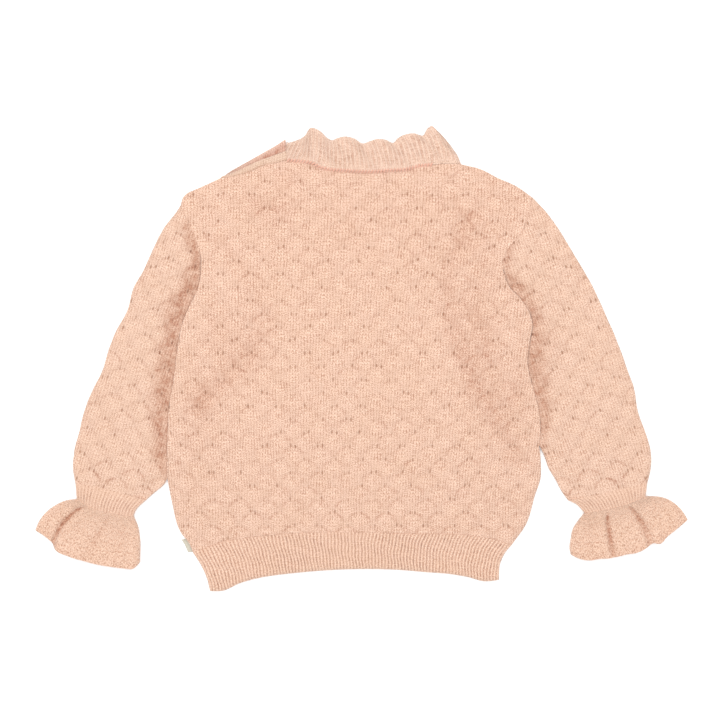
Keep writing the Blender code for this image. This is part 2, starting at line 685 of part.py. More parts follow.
def make_ruffles(collection):
    left = Patch(
        Edge(LEFT_RUFFLE_EDGE),
        Edge(LEFT_CUFF_BOTTOM),
        Edge(LEFT_RUFFLE_OUTER),
        Edge(LEFT_RUFFLE_INNER),
    )
    right = Patch(
        Edge(RIGHT_RUFFLE_EDGE),
        Edge(RIGHT_CUFF_BOTTOM),
        Edge(RIGHT_RUFFLE_OUTER),
        Edge(RIGHT_RUFFLE_INNER),
    )
    piece("ruffle_left", ruffle(left, LEFT_CREASES), RUFFLE_COLOUR, collection)
    piece("ruffle_right", ruffle(right, RIGHT_CREASES), RUFFLE_COLOUR, collection)


def make_label(collection):
    """A blank label sewn in the left side seam, just above the hem band."""
    seam = Edge(LEFT_SIDE_FREE)
    inner = tuple(tuple(seam.at(share)) for share in LABEL_SHARES)
    outer = tuple((x - LABEL_WIDTH, y - LABEL_DROP) for x, y in inner)
    patch = Patch(
        Edge((outer[0], inner[0])), Edge((outer[-1], inner[-1])), Edge(outer), Edge(inner)
    )
    bm = wall(2, 4, 1)
    shape(
        bm,
        lambda u, v: (*patch.cut(u, v), LABEL_THICKNESS),
        lambda u, v: (*patch.cut(u, v), 0.0),
    )
    piece("side_label", bm, LABEL_COLOUR, collection)


def main():
    for old in list(bpy.data.objects):
        bpy.data.objects.remove(old)
    collection = bpy.data.collections.new(NAME)
    bpy.context.scene.collection.children.link(collection)
    make_panels(collection)
    make_hem(collection)
    make_collar(collection)
    make_plackets(collection)
    make_sleeves(collection)
    make_cuffs(collection)
    make_ruffles(collection)
    make_label(collection)


main()
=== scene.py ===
"""The visual model of an openwork baby pullover with ruffled cuffs, laid flat and seen from its back.

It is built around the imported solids, in their frame: +X to the right, +Y towards the collar, +Z up
from the floor. The plan is written in millimetres, and meshes are made in metres. Each piece of cloth
is a thin closed shell on its solid's form, with the bubbles, eyelets, ribs, waves and creases of the
knitting as geometry, and its stitches in the material.
"""

import math
from collections import namedtuple

import bmesh
import bpy
import numpy as np
from bpy.props import FloatProperty, FloatVectorProperty, PointerProperty
from mathutils import Matrix, Vector


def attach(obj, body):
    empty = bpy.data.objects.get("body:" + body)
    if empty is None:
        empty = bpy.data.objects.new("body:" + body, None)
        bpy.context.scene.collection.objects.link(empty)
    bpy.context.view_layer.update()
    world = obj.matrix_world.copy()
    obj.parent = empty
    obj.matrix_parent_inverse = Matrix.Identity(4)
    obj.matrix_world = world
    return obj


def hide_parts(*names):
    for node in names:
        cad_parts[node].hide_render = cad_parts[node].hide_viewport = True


bl_info = {
    "name": "Openwork Baby Pullover",
    "version": (1, 0, 0),
    "blender": (4, 5, 0),
    "location": "3D View > Sidebar > Pullover",
    "description": "Dresses the solids of a flat-laid openwork pullover in knitted cloth",
    "category": "Object",
}

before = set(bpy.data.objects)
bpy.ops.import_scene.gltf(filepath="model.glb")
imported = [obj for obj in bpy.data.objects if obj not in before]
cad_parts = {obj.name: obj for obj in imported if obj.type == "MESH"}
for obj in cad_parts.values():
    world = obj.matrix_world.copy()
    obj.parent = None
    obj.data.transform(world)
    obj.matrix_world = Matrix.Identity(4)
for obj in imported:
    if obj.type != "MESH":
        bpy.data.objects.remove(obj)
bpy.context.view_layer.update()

MM = 0.001
PLAN_MIDDLE = (0.35, 0.37)  # the middle of the outline, in the plan's millimetres

# ---------------------------------------------------------------- layers, in mm
UNDER_WALL = 2.0
UNDER_ROLL = 1.6  # how far in from its rim the under layer turns up
UNDER_RIM = 1.3  # the height of its lower side at the rim
UNDER_THINNING = 0.25  # and how much lower its upper side is there
UPPER_FLOOR = 2.3
UPPER_WALL = 1.5
LOFT = 1.2
RIM_TOP = 2.7  # an upper layer's outer side where it has turned under
RIM_LOW = 1.9  # and its inner side, just in the layer below
EDGE_ROLL = 6.0
END_ROLL = 3.0
RIM_MARKS = (0.0, 0.1, 0.35, 0.8, 1.5, 2.5)  # how far in the outermost columns and rows lie
SEAM_LAP = -0.3  # pieces that are sewn together reach a little into each other
SIDE_LAP = -0.5  # and so do a sleeve and the side that it lies along
DRIFT_HEIGHT = 0.3  # how far loose cloth rises and sinks

# The share of its height that an upper layer keeps at its rim.
SEAM_SHARE = 0.66
HEM_SEAM_SHARE = 0.82  # where the body runs on into its hem band
FREE_END_SHARE = 0.12
ARMHOLE_SHARE = 0.8
SIDE_SHARE = 0.5  # where the side's fold lies a little over the sleeve

# Where a seam or fold holds the layer so, in y and at the neck in x: it comes in over the first two
# numbers, and goes out over the last two.
SIDE_FOLD_HOLD = (-84, -64, 60, 80)
LEFT_ARMHOLE_HOLD = (60, 84, 108, 117)
RIGHT_ARMHOLE_HOLD = (52, 74, 112, 118)
NECK_HOLD = (-112, -100, 70, 82)

# The body's columns of bubbles at three heights: y, the x of a column's middle, and their pitch.
BODY_LATTICE = np.array(((-103, -11.0, 19.4), (15, -7.3, 21.2), (110, -1.5, 22.3)))
BUBBLE_TOP_ROW = 109.8
BUBBLE_WIDTH = 21.2  # each bubble has as many stitches as fit in this
ARCH_BEND = 0.42  # below 1, a bubble is round above and drawn in below
CREASE_WIDTH = 1.2  # between one bubble and the next
STITCH_SWAY = 0.022  # how far columns of stitches fan out, as a share of a bubble's width
STITCH_DIP = 0.14  # and how far rows of them bend, as a share of a row of bubbles
EYELET_APART = 1.75  # from the middle of a pair of eyelets to each
EYELET_RADIUS = 0.75
EYELET_DEPTH = 0.6
SHARP_FROM = math.radians(60)  # faces that meet at more than this angle show an edge
LOW_BODY = (-50.0, -110.0)  # the y from which the painted shade in the creases deepens, and where it is deepest
LIT_SIDE = 5.0  # how far in from the body's sides the painted shade of its hollows fades out

COLLAR_WAVE = 23.0
COLLAR_OVERLAP = (-54, -20)  # the x over which the collar's left end comes down
PLACKET_LENGTH = 52.0
PLACKET_WIDTH = 6.0

FOLD_FULLNESS = 0.6  # below 1, the fold of a tube is squarer above than a round one
SLEEVE_FOLD_RADIUS = 2.7
SLEEVE_SLUMP = 2.1  # how far a sleeve sinks beside the body
SLUMP_REACH = 15.0
SLEEVE_LEAN = math.radians(17)
SLEEVE_SEAM_DEPTH = 0.9
SLEEVE_SLOPE_SHADE = (0.78, 0.66)  # how deep the painted shade on the left and the right sleeve's slopes is
CUFF_FOLD_RADIUS = 2.5
CUFF_SEAM_DEPTH = 0.4
RUFFLE_FOLD_RADIUS = 2.0
RUFFLE_SEAM_RISE = 1.3
RUFFLE_FULLNESS = 1.35  # how much wider a ruffle's cloth is than the ruffle as it lies
PEBBLE = 1.9  # from one bump of the reverse side to the next

LABEL_SEAM_SHARES = (0.01, 0.07, 0.13, 0.19)  # where it is sewn in, up the side's free edge
LABEL_WIDTH = 3.6
LABEL_DROP = 0.6  # how much lower its free side lies on the plan
LABEL_HEIGHT = 0.5
LABEL_THICKNESS = 0.5
LABEL_THREADS = (9, 25)
THREAD_STITCH = 2.3  # from one stitch of the neck's seam to the next
THREAD_SHOWN = 0.84  # the share of the seam, from its left, on which they are seen
THREAD_LEAN = math.radians(55)
THREAD_HEIGHT = 5.5
THREAD_HALF_SIZE = (1.9, 0.65, 0.5)

# How far a material's bumps stand up, in metres.
YARN_BUMP = 0.0004
TAPE_BUMP = 0.00015
THREAD_BUMP = 0.0002
FLOOR_BUMP = 0.00001

# ---------------------------------------------------------------- meshes: columns and rows
BACK_GRID = (284, 300)
FRONT_GRID = (200, 212)
PLACKET_GRID = (96, 16)
LABEL_GRID = (8, 24)
UPPER_RIB_COLUMNS = 12  # to each rib of an upper layer
UNDER_RIB_COLUMNS = 8
HEM_ROWS = (40, 20)  # of the upper layer and the under one
COLLAR_ROWS = (36, 24)
COARSER = 4  # how many of a shell's outer faces one inner face spans
Girth = namedtuple("Girth", "top fold low")  # columns over a tube's top, a fold and its underside
SLEEVE_GIRTH, SLEEVE_ROWS = Girth(88, 8, 60), 236
CUFF_GIRTH, CUFF_ROWS = Girth(120, 12, 80), 24
RUFFLE_GIRTH, RUFFLE_ROWS = Girth(152, 12, 80), 72

# ---------------------------------------------------------------- plan: x, y of each edge
LEFT_SIDE_FREE = (
    (-122.6, -141.3), (-126.1, -133.6), (-131.0, -127.4), (-138.0, -104.4), (-141.3, -86.9),
)  # fmt: skip
LEFT_SIDE = (
    (-141.3, -86.9), (-141.8, -74.0), (-141.3, -62.0), (-140.2, -36.5), (-136.5, -13.1),
    (-133.2, 12.4), (-130.3, 26.3), (-124.1, 40.9), (-119.0, 51.8), (-116.8, 63.5), (-116.8, 75.2),
)  # fmt: skip
LEFT_ARMHOLE = ((-116.8, 75.2), (-120.5, 87.6), (-124.1, 97.1), (-129.2, 105.8), (-131.4, 112.4))
LEFT_SHOULDER_TIP = ((-131.4, 112.4), (-130.2, 117.5), (-127.0, 121.2))
RIGHT_SIDE_FREE = (
    (110.2, -135.4), (120.5, -120.5), (127.0, -99.3), (131.0, -86.9), (131.0, -73.0),
    (129.8, -62.0),
)  # fmt: skip
RIGHT_SIDE = (
    (129.8, -62.0), (130.8, -52.6), (129.9, -38.0), (124.8, -18.2), (121.5, -2.2), (123.0, 13.0),
    (125.0, 24.8), (122.4, 35.0), (116.1, 44.5), (107.8, 53.3), (103.6, 65.0),
)  # fmt: skip
RIGHT_ARMHOLE = (
    (103.6, 65.0), (104.0, 73.0), (107.7, 81.0), (113.6, 88.3), (118.3, 94.9), (121.9, 105.8),
    (125.0, 118.0),
)  # fmt: skip

HEM_TOP = (
    (-122.6, -141.3), (-100.7, -133.6), (-65.7, -128.5), (-7.3, -126.3), (34.3, -127.5),
    (78.1, -128.7), (99.3, -132.1), (110.2, -135.4),
)  # fmt: skip
HEM_BOTTOM = (
    (-110.2, -169.4), (-100.7, -169.0), (-88.3, -163.5), (-75.2, -159.9), (-62.0, -157.7),
    (-48.9, -156.2), (-22.6, -154.0), (29.9, -154.0), (47.4, -155.5), (65.0, -156.9),
    (78.1, -159.1), (89.8, -162.1), (100.7, -161.3),
)  # fmt: skip
HEM_LEFT = ((-110.2, -169.4), (-112.4, -160.2), (-116.8, -150.5), (-122.6, -141.3))
HEM_RIGHT = ((100.7, -161.3), (101.5, -149.5), (105.1, -141.6), (110.2, -135.4))

SHOULDER_TO_OPENING = ((-127.0, 121.2), (-118.3, 124.8), (-111.7, 127.8), (-102.9, 131.8))
BACK_PLACKET_SEAM = (
    (-102.9, 131.8), (-94.9, 132.7), (-82.0, 136.2), (-71.3, 140.7), (-62.8, 142.7),
    (-54.0, 144.9),
)  # fmt: skip
BACK_NECK = (
    (-54.0, 144.9), (-43.4, 144.0), (-36.1, 142.9), (-29.5, 139.6), (-21.2, 138.0), (-10.2, 137.2),
    (6.6, 136.5), (23.4, 137.6), (33.3, 138.3), (40.1, 140.2), (50.8, 141.6), (61.3, 142.3),
    (73.0, 142.0),
)  # fmt: skip
RIGHT_SHOULDER = ((73.0, 142.0), (86.9, 138.7), (100.0, 132.1), (113.1, 126.3), (125.0, 118.0))
FRONT_PLACKET_SEAM = (
    (-102.9, 131.8), (-97.1, 133.2), (-83.2, 138.0), (-71.5, 143.1), (-59.1, 148.6),
    (-54.0, 150.7),
)  # fmt: skip
FRONT_NECK = (
    (-54.0, 150.7), (-50.5, 143.0), (-44.5, 137.0), (-34.0, 129.8), (-19.0, 124.8), (6.6, 122.4),
    (32.1, 124.8), (50.0, 130.0), (62.0, 136.5), (73.0, 142.0),
)  # fmt: skip

BACK_PLACKET_TOP = (
    (-101.8, 133.2), (-88.3, 138.3), (-76.9, 143.8), (-65.7, 147.9), (-54.4, 152.2),
)  # fmt: skip
FRONT_PLACKET_TOP = (
    (-94.9, 137.6), (-82.5, 144.5), (-70.8, 151.1), (-60.1, 157.3), (-55.3, 160.6),
)  # fmt: skip

BACK_COLLAR_TOP = (
    (-54.4, 157.5), (-48.9, 158.9), (-41.6, 162.4), (-36.5, 168.8), (-29.5, 166.1),
    (-24.5, 161.3), (-21.2, 159.7), (-17.2, 161.3), (-11.7, 162.4), (-5.1, 161.0),
    (1.5, 157.3), (6.6, 159.1), (11.7, 160.6), (18.3, 159.9), (23.4, 157.7), (27.0, 161.3),
    (30.3, 163.2), (38.5, 164.7), (45.3, 163.2), (48.2, 167.9), (51.5, 170.1), (54.8, 167.2),
    (58.3, 161.3),
)  # fmt: skip
BACK_COLLAR_LEFT = ((-54.0, 144.9), (-54.4, 152.2), (-54.4, 157.5))
BACK_COLLAR_RIGHT = ((73.0, 142.0), (70.6, 148.3), (67.2, 153.3), (63.1, 158.4), (58.3, 161.3))
FRONT_COLLAR_TOP = (
    (-54.4, 158.8), (-44.5, 152.5), (-22.6, 145.5), (6.6, 143.0), (35.8, 145.3), (50.0, 151.0),
    (58.3, 158.2),
)  # fmt: skip

LEFT_SLEEVE_OUTER = (
    (-208.3, -90.5), (-209.9, -81.0), (-208.8, -66.4), (-205.1, -51.8), (-201.5, -37.2),
    (-195.6, -22.6), (-188.3, -8.0), (-184.0, 6.6), (-178.1, 21.2), (-170.1, 35.8),
    (-166.4, 50.4), (-158.4, 65.0), (-151.8, 79.6), (-144.5, 94.2), (-133.6, 108.8),
    (-131.4, 112.4),
)  # fmt: skip
LEFT_SLEEVE_FREE = ((-156.9, -102.9), (-150.4, -97.1), (-143.8, -91.2), (-141.3, -86.9))
RIGHT_SLEEVE_OUTER = (
    (208.8, -90.3), (211.0, -81.0), (211.0, -66.4), (206.6, -51.8), (201.5, -37.2),
    (199.3, -22.6), (194.2, -8.0), (189.1, 6.6), (183.2, 21.2), (176.7, 35.8), (170.1, 50.4),
    (162.1, 65.0), (153.3, 79.6), (144.5, 94.2), (133.6, 108.8), (125.0, 118.0),
)  # fmt: skip
RIGHT_SLEEVE_FREE = (
    (151.1, -103.0), (146.0, -95.6), (142.3, -88.3), (137.2, -79.6), (134.3, -71.5),
    (129.8, -62.0),
)  # fmt: skip

LEFT_CUFF_TOP = ((-208.3, -90.5), (-190.5, -93.4), (-172.3, -98.5), (-156.9, -102.9))
LEFT_CUFF_BOTTOM = ((-207.3, -102.2), (-197.8, -108.0), (-183.2, -112.4), (-166.1, -114.6))
LEFT_CUFF_OUTER = ((-207.3, -102.2), (-208.3, -90.5))
LEFT_CUFF_INNER = ((-166.1, -114.6), (-164.8, -111.0), (-156.9, -102.9))
RIGHT_CUFF_TOP = ((208.8, -90.3), (189.1, -94.9), (170.0, -99.5), (151.1, -103.0))
RIGHT_CUFF_BOTTOM = ((207.5, -100.2), (193.5, -106.2), (178.5, -110.0), (163.2, -112.3))
RIGHT_CUFF_OUTER = ((207.5, -100.2), (208.8, -90.3))
RIGHT_CUFF_INNER = ((163.2, -112.3), (157.5, -106.2), (151.1, -103.0))

LEFT_RUFFLE_OUTER = (
    (-237.6, -124.8), (-234.3, -117.5), (-229.0, -111.0), (-223.7, -107.1), (-216.8, -103.7),
    (-207.3, -102.2),
)  # fmt: skip
LEFT_RUFFLE_EDGE = (
    (-237.6, -124.8), (-231.0, -128.5), (-225.7, -133.2), (-222.4, -139.1), (-212.7, -143.8),
    (-199.7, -147.8), (-186.6, -150.7), (-173.7, -152.4), (-165.7, -152.6), (-161.5, -148.5),
)  # fmt: skip
LEFT_RUFFLE_INNER = ((-161.5, -148.5), (-161.5, -130.6), (-162.8, -122.6), (-166.1, -114.6))
RIGHT_RUFFLE_OUTER = (
    (238.3, -117.0), (234.3, -110.7), (228.8, -105.3), (221.9, -101.5), (214.6, -100.3),
    (207.5, -100.2),
)  # fmt: skip
RIGHT_RUFFLE_EDGE = (
    (238.3, -117.0), (229.5, -124.1), (222.6, -129.7), (218.0, -134.5), (212.9, -134.3),
    (208.6, -137.2), (200.4, -141.2), (193.6, -142.2), (183.5, -144.9), (173.9, -145.6),
    (166.4, -146.7), (158.5, -145.2), (153.3, -142.8),
)  # fmt: skip
RIGHT_RUFFLE_INNER = (
    (153.3, -142.8), (152.4, -138.0), (153.1, -132.1), (154.8, -124.1), (158.4, -118.3),
    (163.2, -112.3),
)  # fmt: skip

# ---------------------------------------------------------------- folds, one row each
# A soft trough in the upper layer: where it starts and ends, how wide and how deep it is.
Trough = namedtuple("Trough", "x0 y0 x1 y1 width depth")
TROUGHS = (
    Trough(-70.0, 28.0, -78.0, 5.0, 9.0, 0.8),
    Trough(-78.0, 5.0, -97.0, -12.0, 9.0, 1.0),
    Trough(-97.0, -12.0, -116.0, -31.0, 8.0, 0.9),
    Trough(-103.0, 92.0, -72.0, 38.0, 6.0, 0.4),
    Trough(-76.0, 111.0, -56.0, 108.0, 8.0, 0.8),
    Trough(79.6, 104.4, 61.3, 62.0, 6.0, 0.7),
    Trough(61.3, 62.0, 63.0, 38.0, 6.0, 0.8),
    Trough(63.0, 38.0, 71.0, 8.0, 7.0, 0.9),
    Trough(71.0, 8.0, 82.0, -17.0, 7.0, 1.0),
    Trough(82.0, -17.0, 100.0, -44.0, 7.0, 0.9),
    Trough(100.0, -44.0, 114.0, -72.0, 7.0, 0.8),
)

# A valley between two waves of a ruffle, by its share of the way across from the outer side.
Crease = namedtuple("Crease", "at_seam at_edge width depth")
LEFT_CREASES = (
    Crease(0.2, 0.195, 0.03, 1.0),
    Crease(0.62, 0.50, 0.045, 0.45),
    Crease(0.82, 0.76, 0.08, 0.3),
)
RIGHT_CREASES = (
    Crease(0.33, 0.36, 0.035, 0.85),
    Crease(0.64, 0.66, 0.03, 0.93),
    Crease(0.84, 0.84, 0.08, 0.3),
)

# Parts of the back that turn a little from the light: middle, reach and strength.
Shade = namedtuple("Shade", "x y reach_x reach_y strength")
SHADES = (
    Shade(-55.0, 131.0, 10.0, 6.0, 0.5),
    Shade(-118.0, -40.0, 12.0, 30.0, 0.5),
    Shade(-98.0, 14.0, 16.0, 20.0, 0.4),
    Shade(80.0, 92.0, 22.0, 22.0, 0.35),
    Shade(80.0, 44.0, 16.0, 24.0, 0.4),
    Shade(88.0, 4.0, 12.0, 34.0, 0.7),
    Shade(108.0, -30.0, 14.0, 22.0, 0.5),
    Shade(0.0, 110.0, 160.0, 60.0, 0.18),
)

# How wide the shaded slope of a sleeve is beside the body, at each height on the plan.
LEFT_SLOPE = (
    (-92, 1), (-85, 4), (-79, 6), (-65, 10), (-52, 12), (-24, 13), (3, 13), (21, 13), (36, 16),
    (49, 14), (71, 12), (85, 10), (95, 6), (104, 2), (112, 1),
)  # fmt: skip
RIGHT_SLOPE = (
    (-80, 1), (-66, 4), (-52, 7), (-28, 11), (-8, 14), (7, 18), (27, 15), (42, 10), (54, 9),
    (67, 9), (78, 5), (88, 2.5), (100, 1), (118, 1),
)  # fmt: skip

# ---------------------------------------------------------------- camera and light
CAMERA_SPOT = (-1.08, -1.10)  # the point under the lens, in the frame's millimetres
VIEW_WIDTH = 525.6  # what the camera sees across, at VIEW_HEIGHT above the floor
VIEW_HEIGHT = 3.0
LENS = 85.0
SENSOR = 36.0

WORLD_STRENGTH = 0.8
STAGE_LIGHT = 1.33  # how bright a white sheet on the floor is
FLOOR_REACH = 3.0  # metres from the middle of the floor to its sides
# A soft light over the garment: where it hangs and how wide it is, in metres, and its watts.
Softbox = namedtuple("Softbox", "name spot width watts")
SOFTBOXES = (
    Softbox("key_softbox", (-0.3, 0.9, 1.3), 1.2, 9.0),
    Softbox("top_softbox", (0.0, 0.0, 1.9), 1.6, 26.0),
)


def linear(colour):
    """A colour's red, green and blue, from 0-255 as seen to linear shares."""
    shares = (channel / 255 for channel in colour)
    return tuple(s / 12.92 if s <= 0.04045 else ((s + 0.055) / 1.055) ** 2.4 for s in shares)


def dyed(seen):
    """The colour of the wool itself, where it is seen as this one in the stage's light."""
    return tuple(share / STAGE_LIGHT for share in linear(seen))


# ---------------------------------------------------------------- settings
def length_setting(name, default, description):
    return FloatProperty(name=name, default=default, min=0, unit="LENGTH", description=description)


def colour_setting(name, default, description):
    return FloatVectorProperty(
        name=name, default=default, size=3, min=0, max=1, subtype="COLOR", description=description
    )


class PulloverSizes(bpy.types.PropertyGroup):
    bubble_height: length_setting("Bubble Height", 0.0008, "How far a knitted bubble stands up")
    bubble_row: length_setting("Bubble Row", 0.00965, "From one row of bubbles to the next")
    sleeve_bubble: length_setting("Sleeve Bubble", 0.0205, "Width of a bubble on the sleeves")
    rib: length_setting("Rib", 0.00475, "Width of a rib of the hem band and the cuffs")
    rib_height: length_setting("Rib Height", 0.0009, "How far a rib stands up")
    collar_rib: length_setting("Collar Rib", 0.0031, "Width of a rib of the collar")
    collar_rib_height: length_setting("Collar Rib Height", 0.0008, "Height of a collar rib")
    wale: length_setting("Wale", 0.00212, "Width of one stitch")
    course: length_setting("Course", 0.0016, "Height of one row of stitches")
    ruffle_rise: length_setting("Ruffle Rise", 0.0027, "How far a ruffle's waves stand up")


class PulloverColours(bpy.types.PropertyGroup):
    body: colour_setting("Body", dyed((243, 204, 181)), "Yarn of the body")
    sleeve: colour_setting("Sleeves", dyed((242, 204, 181)), "Yarn of the sleeves")
    collar: colour_setting("Collar", dyed((248, 214, 193)), "Yarn of the collar")
    rib: colour_setting("Ribs", dyed((242, 203, 179)), "Yarn of the hem band and the cuffs")
    ruffle: colour_setting("Ruffles", dyed((238, 199, 175)), "Yarn of the ruffles")
    # Painted shade: the tint that the hollow attribute multiplies into the yarn where shade falls
    hollow: colour_setting("Hollows", linear((213, 188, 177)), "How a deep hollow tints the yarn")
    # Painted shadow in the eyelets: what is seen through them is the same yarn in shade
    eyelet: colour_setting("Eyelets", dyed((188, 138, 110)), "The far layer, seen through an eyelet")
    placket: colour_setting("Near Edge", dyed((237, 203, 180)), "Near edge of the opening")
    far_placket: colour_setting("Far Edge", dyed((242, 202, 183)), "Far edge of the opening")
    thread: colour_setting("Seam Thread", dyed((242, 189, 168)), "The thread of the neck seam")
    label: colour_setting("Label", dyed((236, 229, 211)), "The blank tape in the side seam")


def sizes():
    """The sizes in millimetres, by name."""
    held = bpy.context.scene.pullover_sizes
    return {name: getattr(held, name) / MM for name in PulloverSizes.__annotations__}


def colour_of(name):
    return tuple(getattr(bpy.context.scene.pullover_colours, name))


# ---------------------------------------------------------------- plan
def smooth_line(table, steps=10):
    """Points along a smooth line through a table's spots."""
    knots = np.array(table, float)
    chords = np.hypot(*np.diff(knots, axis=0).T)
    slopes = np.gradient(knots, np.concatenate([[0.0], np.cumsum(chords)]), axis=0)
    s = np.linspace(0, 1, steps, endpoint=False)[:, None]
    spans = [
        (2 * s**3 - 3 * s**2 + 1) * knots[i]
        + (s**3 - 2 * s**2 + s) * chord * slopes[i]
        + (3 * s**2 - 2 * s**3) * knots[i + 1]
        + (s**3 - s**2) * chord * slopes[i + 1]
        for i, chord in enumerate(chords)
    ]
    return np.concatenate([*spans, knots[-1:]])


class Edge:
    """One or more smooth lines, end to end, read by the share of their length."""

    def __init__(self, *tables):
        lines = [smooth_line(table) for table in tables]
        self.spots = np.concatenate([lines[0], *(line[1:] for line in lines[1:])])
        lengths = np.hypot(*np.diff(self.spots, axis=0).T)
        self.length = lengths.sum()
        self.shares = np.concatenate([[0.0], np.cumsum(lengths)]) / self.length

    def at(self, share):
        return np.array([np.interp(share, self.shares, self.spots[:, k]) for k in (0, 1)])


class Patch:
    """A piece's plan, blended from its four edges, each a table or an Edge.

    near and far run across the piece, at its start and its end. left and right run along it, from near
    to far. A share across goes from left to right, and a share along from near to far.
    """

    def __init__(self, near, far, left, right, side_gap=SEAM_LAP):
        edges = (edge if isinstance(edge, Edge) else Edge(edge) for edge in (near, far, left, right))
        self.near, self.far, self.left, self.right = edges
        self.side_gap = side_gap

    def plan(self, across, along):
        corner = self.near.at(np.array([0.0, 1.0])), self.far.at(np.array([0.0, 1.0]))
        blend = (1 - along) * self.near.at(across) + along * self.far.at(across)
        blend += (1 - across) * self.left.at(along) + across * self.right.at(along)
        for end, share in zip(corner, (1 - along, along)):
            blend -= share * ((1 - across) * end[:, :1] + across * end[:, 1:])
        return blend

    def width(self, along):
        nought = np.zeros_like(along)
        return np.hypot(*(self.plan(nought, along) - self.plan(nought + 1, along)))

    def length(self, across):
        nought = np.zeros_like(across)
        return np.hypot(*(self.plan(across, nought) - self.plan(across, nought + 1)))

    def middle_size(self):
        half = np.array([0.5])
        return float(self.width(half)[0]), float(self.length(half)[0])

    def cut(self, across, along):
        """The plan of the piece as cut, which laps into its neighbours where the gap is negative."""
        aside = self.side_gap / 2 / self.width(along)
        behind = SEAM_LAP / 2 / self.length(across)
        return self.plan(aside + across * (1 - 2 * aside), behind + along * (1 - 2 * behind))

    def area(self):
        """The plan's area in square millimetres."""
        lines = self.near.spots, self.right.spots, self.far.spots[::-1], self.left.spots[::-1]
        x, y = np.concatenate([line[:-1] for line in lines]).T
        return abs(x @ np.roll(y, -1) - y @ np.roll(x, -1)) / 2


def strip(near, far):
    """A plan between two tables, with straight ends."""
    return Patch(near, far, (near[0], far[0]), (near[-1], far[-1]))


def body_patch(*top):
    """The body's plan, where the tables of its top edge lie between its shoulders."""
    left = Edge(LEFT_SIDE_FREE, LEFT_SIDE, LEFT_ARMHOLE, LEFT_SHOULDER_TIP)
    right = Edge(RIGHT_SIDE_FREE, RIGHT_SIDE, RIGHT_ARMHOLE)
    return Patch(HEM_TOP, Edge(SHOULDER_TO_OPENING, *top, RIGHT_SHOULDER), left, right, SIDE_LAP)


# ---------------------------------------------------------------- relief, in mm
def chance(a, b, seed=0.0):
    """A fixed number from 0 to 1 for each pair of whole numbers."""
    return np.modf(np.abs(np.sin(a * 127.1 + b * 311.7 + seed * 74.7)) * 43758.5453)[0]


def ease(value, low, high):
    share = np.clip((value - low) / (high - low), 0, 1)
    return share * share * (3 - 2 * share)


def between(value, rise_from, rise_to, fall_from, fall_to):
    return ease(value, rise_from, rise_to) * (1 - ease(value, fall_from, fall_to))


def bell(distance, reach):
    """1 at no distance, and softly less over the reach and beyond it."""
    return np.exp(-((distance / reach) ** 2))


def quarter_round(distance, reach):
    """0 at an edge, and 1 from reach inwards, with the height of a quarter circle between."""
    return np.sqrt(1 - np.maximum(0, 1 - distance / reach) ** 2)


def edge_height(share, distance, reach):
    """What a layer has of its height near an edge, where it keeps that share of it."""
    return share + (1 - share) * quarter_round(distance, reach)


def drift(x, y):
    """The slow unevenness of cloth that lies loose, from about -1 to 1."""
    return (
        0.45 * np.sin(x / 23 + y / 37 + 1.0)
        + 0.35 * np.sin(x / 15 - y / 29 + 2.2)
        + 0.3 * np.sin(x / 41 + y / 13 + 0.4)
    )


def trough_depth(x, y):
    depth = np.zeros_like(x)
    for row in TROUGHS:
        run = (row.x1 - row.x0, row.y1 - row.y0)
        share = ((x - row.x0) * run[0] + (y - row.y0) * run[1]) / (run[0] ** 2 + run[1] ** 2)
        share = np.clip(share, 0, 1)
        away = np.hypot(x - row.x0 - share * run[0], y - row.y0 - share * run[1])
        depth = np.maximum(depth, row.depth * bell(away, row.width))
    return depth


def turned_away(x, y):
    """How much the parts in SHADES turn from the light, where the cloth isn't even either."""
    shade = np.zeros_like(x)
    for row in SHADES:
        shade += row.strength * bell(x - row.x, row.reach_x) * bell(y - row.y, row.reach_y)
    return shade * (1 + 0.35 * drift(3.1 * x, 3.3 * y))


class Lattice:
    """Half-drop bubbles, whose corners are whole numbers of rising and falling lines."""

    def __init__(self, columns, rows, pitch, row):
        self.corners = columns + rows / 2, columns - rows / 2
        self.columns, self.rows = columns, rows
        self.pitch, self.row = pitch, row

    def arched_lines(self):
        """The rising and the falling line, bent so that they are round over each bubble."""
        top = np.floor(self.rows)
        arched = top + (self.rows - top) ** ARCH_BEND
        return self.columns + arched / 2, self.columns - arched / 2

    def crowns(self):
        """The height share of the bubbles, which are not all as tall."""
        rising, falling = self.arched_lines()
        crown = np.abs(np.sin(np.pi * rising) * np.sin(np.pi * falling)) ** 0.5
        return crown * (0.7 + 0.3 * chance(np.floor(rising), np.floor(falling)))

    def arches(self):
        """How much painted shade lies in the creases over the bubbles, where each crease is as dark as
        chance has it.
        """
        top = np.floor(self.rows)
        depth = np.zeros_like(top)
        for line in self.arched_lines():
            own = ease(chance(np.round(line), top, 11.0), -0.2, 1.0)
            depth = np.maximum(depth, own * bell((line - np.round(line)) * self.pitch, CREASE_WIDTH))
        return depth * (1 - ease(self.rows - top, 0.25, 0.85))

    def eyelets(self):
        """1 in the middle of an eyelet. They lie in pairs, at the bubbles' corners."""
        knot = np.round(self.corners)
        a, b = self.corners - knot
        x, y = (a + b) / 2 * self.pitch, (a - b) * self.row
        away = np.hypot(np.abs(x) - EYELET_APART, y)
        return (0.5 + 0.5 * chance(*knot, 3.0)) * bell(away, EYELET_RADIUS)

    def stitches(self, size):
        """Stitches fan over each bubble and draw together at its corners."""
        across, down = 2 * np.pi * self.columns, np.cos(np.pi * self.rows)
        return (
            (self.columns + STITCH_SWAY * np.sin(across) * down) * np.round(BUBBLE_WIDTH / size["wale"]),
            -(self.rows + STITCH_DIP * np.cos(across) * down) * np.round(self.row / size["course"]),
        )


def body_lattice(x, y, size):
    heights, middles, pitches = BODY_LATTICE.T
    pitch = np.interp(y, heights, pitches)
    columns = (x - np.interp(y, heights, middles)) / pitch
    return Lattice(columns, (BUBBLE_TOP_ROW - y) / size["bubble_row"], pitch, size["bubble_row"])


